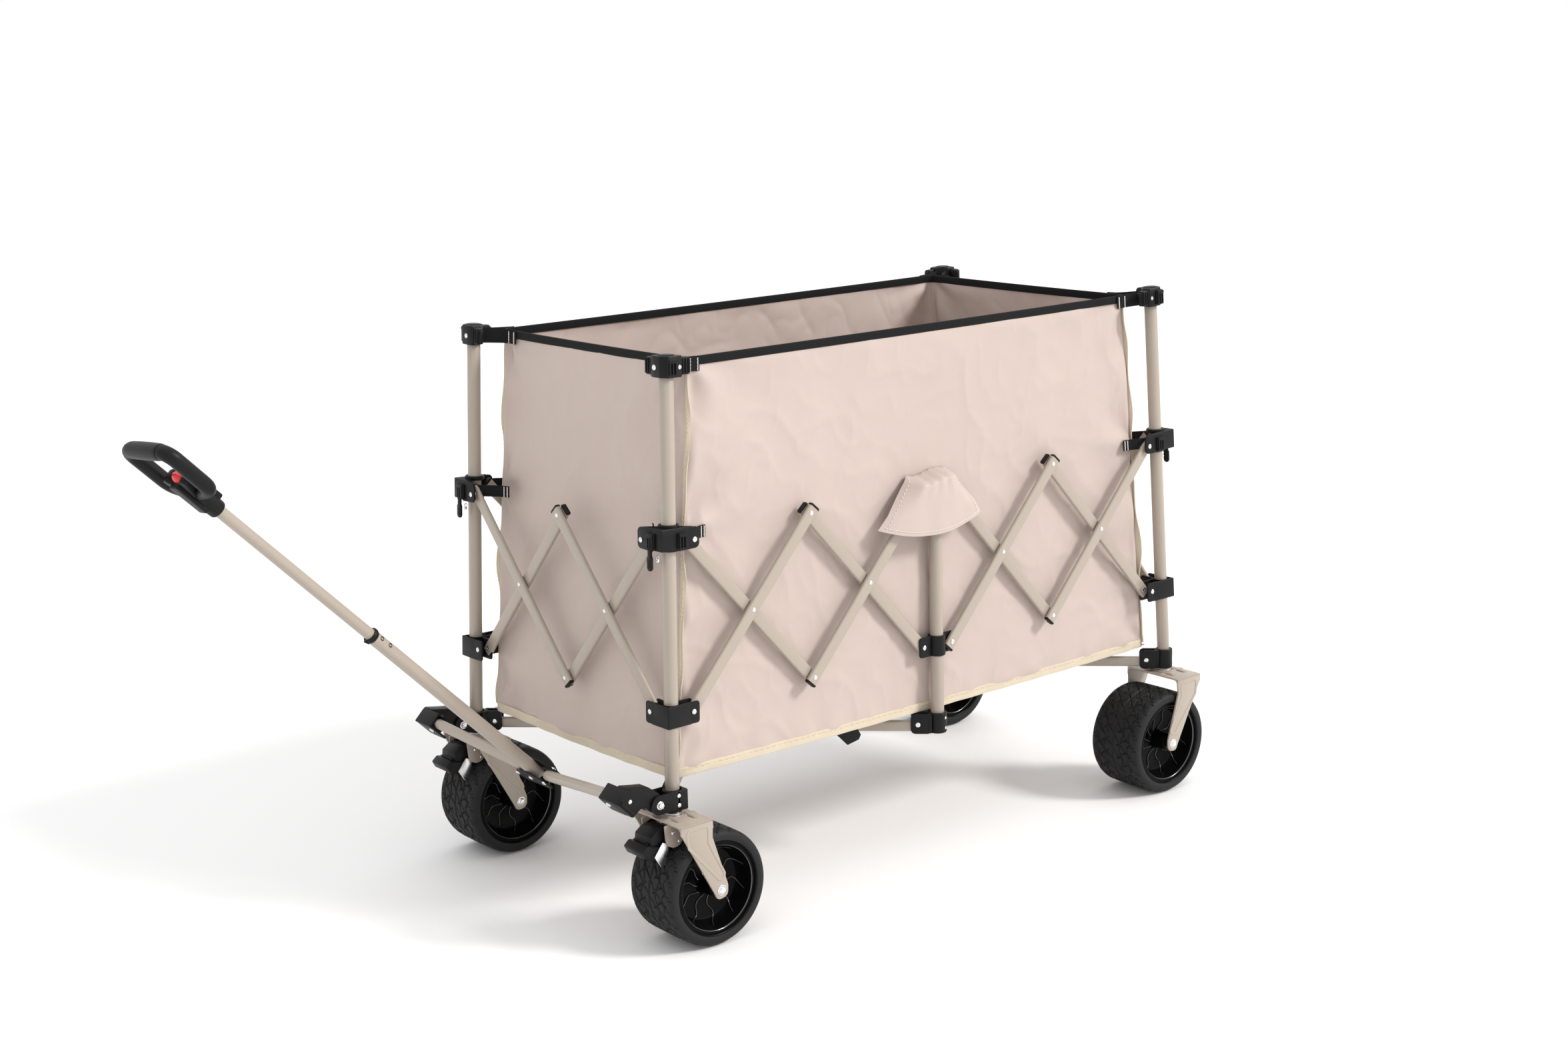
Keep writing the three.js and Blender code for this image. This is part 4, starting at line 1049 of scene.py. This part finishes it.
def corner_seam(end, sx, side, sy):
    """The bound seam that stands out of the bag's upright corner, beside the post."""
    body, threads, flip = f"post_{end}_{side}", Shape(), mirror(sx, sy, 1)
    rows, columns, seed = 90, 6, 2.1 * sx + 1.3 * sy
    arc = CORNER_R * (1 - math.cos(math.pi / 4))
    grid, line = [], []
    for j in range(rows):
        k = j / (rows - 1)
        z = BAG_Z0 + 8 + (BAG_Z1 - BAG_Z0 - 22) * k
        bend = 0.5 * math.sin(z * 0.023 + seed) + 0.35 * math.sin(z * 0.051 + 2 * seed)
        tight = max(math.exp(-((z - held) / spread) ** 2)
                    for held, spread in ((BAG_Z1, 40), (HIGH_Z, 30), (LOW_Z, 30), (BAG_Z0, 30)))
        swing = 0.55 + 1.0 * bend * (1 - 0.8 * tight)
        wide = 10.5 - 2.5 * tight + 1.5 * math.sin(z * 0.031 + seed)
        grid.append(Vector((BAG_X0 + (BAG_X1 - BAG_X0) * k - arc - 1.0,
                            BAG_Y0 + (BAG_Y1 - BAG_Y0) * k - arc - 0.6, z)))
        for i in range(1, columns):
            angle = math.pi / 4 + 0.55 + swing * (0.2 + 0.16 * i)
            d = Vector((math.cos(angle), math.sin(angle), 0))
            grid.append(grid[-1] + d * (wide / (columns - 1)))
        line.append((grid[-3], Vector((d.y, -d.x, 0))))
    piece(f"bag_seam_{end}_{side}", grid_sheet(grid, columns, 1.6).carried(flip), BINDING, body)
    for (a, n), (b, _) in zip(line, line[1:]):
        threads.join(thread_line(a + n * 0.2, b + n * 0.2, n, 3.3, 0.8, 0.4, 0.9), flip)
    piece(f"bag_seam_stitches_{end}_{side}", threads, CREAM_THREAD, body)


def floor_panels():
    """The bag's floor in eight panels, one over each base bar, which lifts it as the cart folds."""
    n = 24
    for end, sx in ENDS:
        for key, ex, ey in base_bars(sx):
            x0, x1 = (BAG_X0 / 2, BAG_X0 - 1) if ex else (0, BAG_X0 / 2)
            points = []
            for j in range(n):
                for i in range(n):
                    x = sx * (x0 + (x1 - x0) * i / (n - 1))
                    y = ey * (BAG_Y0 - 1) * j / (n - 1)
                    wave = 1.2 * noise.noise(Vector((x * 0.01, y * 0.01, 9)))
                    wave += 0.5 * noise.noise(Vector((x * 0.03, y * 0.03, 3)))
                    points.append(Vector((x, y, 246.5 + wave)))
            panel, size = cloth(f"bag_floor_{end}_{key}", points, n, Vector((0, 0, 1)), 1.0, FLOOR_FABRIC,
                                f"base_bar_{end}_{key}")
            foot, hub = foot_place(ex, ey), Vector((sx * HUB_X, 0, 0))
            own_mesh(panel)


def flap(side, sy):
    """The stitched flap over a mid post's upper bracket."""
    columns, rows, body, threads = 61, 41, f"post_mid_{side}", Shape()

    def at(s, t):
        half = 43 + 65 * t ** 0.95
        roof = 1 - (1 - min(1.0, t / 0.13)) ** 2.2
        lift = 0.72 if s > 0 else 0.45
        cover = 1 - abs(s) ** 5 * (0.92 - lift * min(1.0, t * 1.4))
        y = 253 + 40 * roof * cover + 3.0 * t * cover
        y += 1.6 * t * math.sin(4.4 * s + 1.0) * cover + 0.6 * t * math.sin(9 * s + 0.4)
        y += 1.4 * noise.noise(Vector((s * 3.1, t * 2.4, 6.5))) + 1.8 * (1 - t) ** 3 * math.sin(17 * s)
        z = 643 - 75 * t - 20 * t * (1 - s * s) + (2.5 * math.sin(4 * s + 0.2) + 3 * s) * (1 - t)
        return Vector((s * half - 5 - 16 * t, sy * y, z))

    points = [at(-1 + 2 * i / (columns - 1), 1 - j / (rows - 1)) for j in range(rows) for i in range(columns)]
    outside = points[0] - Vector((0, 0, 600))
    hung, size = cloth(f"bag_flap_{side}", points, columns, outside, THICK, FABRIC, body)
    low = 0.93
    route = [(-0.94 + 0.02 * k / 14, k / 14) for k in range(14)]
    route += [(-0.94 + 1.88 * k / 44, low) for k in range(45)]
    route += [(0.94, low * (1 - k / 14)) for k in range(15)]
    ps = [at(s, min(t, low)) + Vector((0, sy * 0.9, 0)) for s, t in route]
    for a, b in zip(ps, ps[1:]):
        if (b - a).length > 1:
            threads.join(thread_line(a, b, (0, sy, 0.2), 4.4, 1.5, 0.5))
    stitches = piece(f"bag_flap_stitches_{side}", threads, THREAD, body, slot="bag_fabric")


def bag():
    side_half, end_half = (BAG_X0, BAG_X1), (BAG_Y0, BAG_Y1)
    keep_x, keep_y = 1 - FOLD_X / BAG_X0, 1 - FOLD_Y / BAG_Y0
    for side, sy in SIDES:
        bag_wall(f"wall_{side}", mirror(1, sy, 1), side_half, end_half, 1.0 + sy, f"post_mid_{side}",
                 keep_x, 330)
    for end, sx in ENDS:
        bag_wall(f"wall_{end}", mirror(sx, 1, 1) @ SWAP, end_half, side_half, 5.0 + sx, f"post_{end}_left",
                 keep_y, 170)
        for side, sy in SIDES:
            corner_seam(end, sx, side, sy)
    floor_panels()
    for side, sy in SIDES:
        flap(side, sy)
    tab = corners([(-204, 241, 1), (-196, 234, 2), (-180, 218, 3), (-156, 222, 2), (-151, 229, 2),
                   (-158, 241, 1)], 4)
    piece("bag_floor_tab", upright(tab, -250.4, -248.9, 0.4), WEBBING, "post_mid_left")


posts_and_wheels()
links()
base()
pull_bar()
bag()
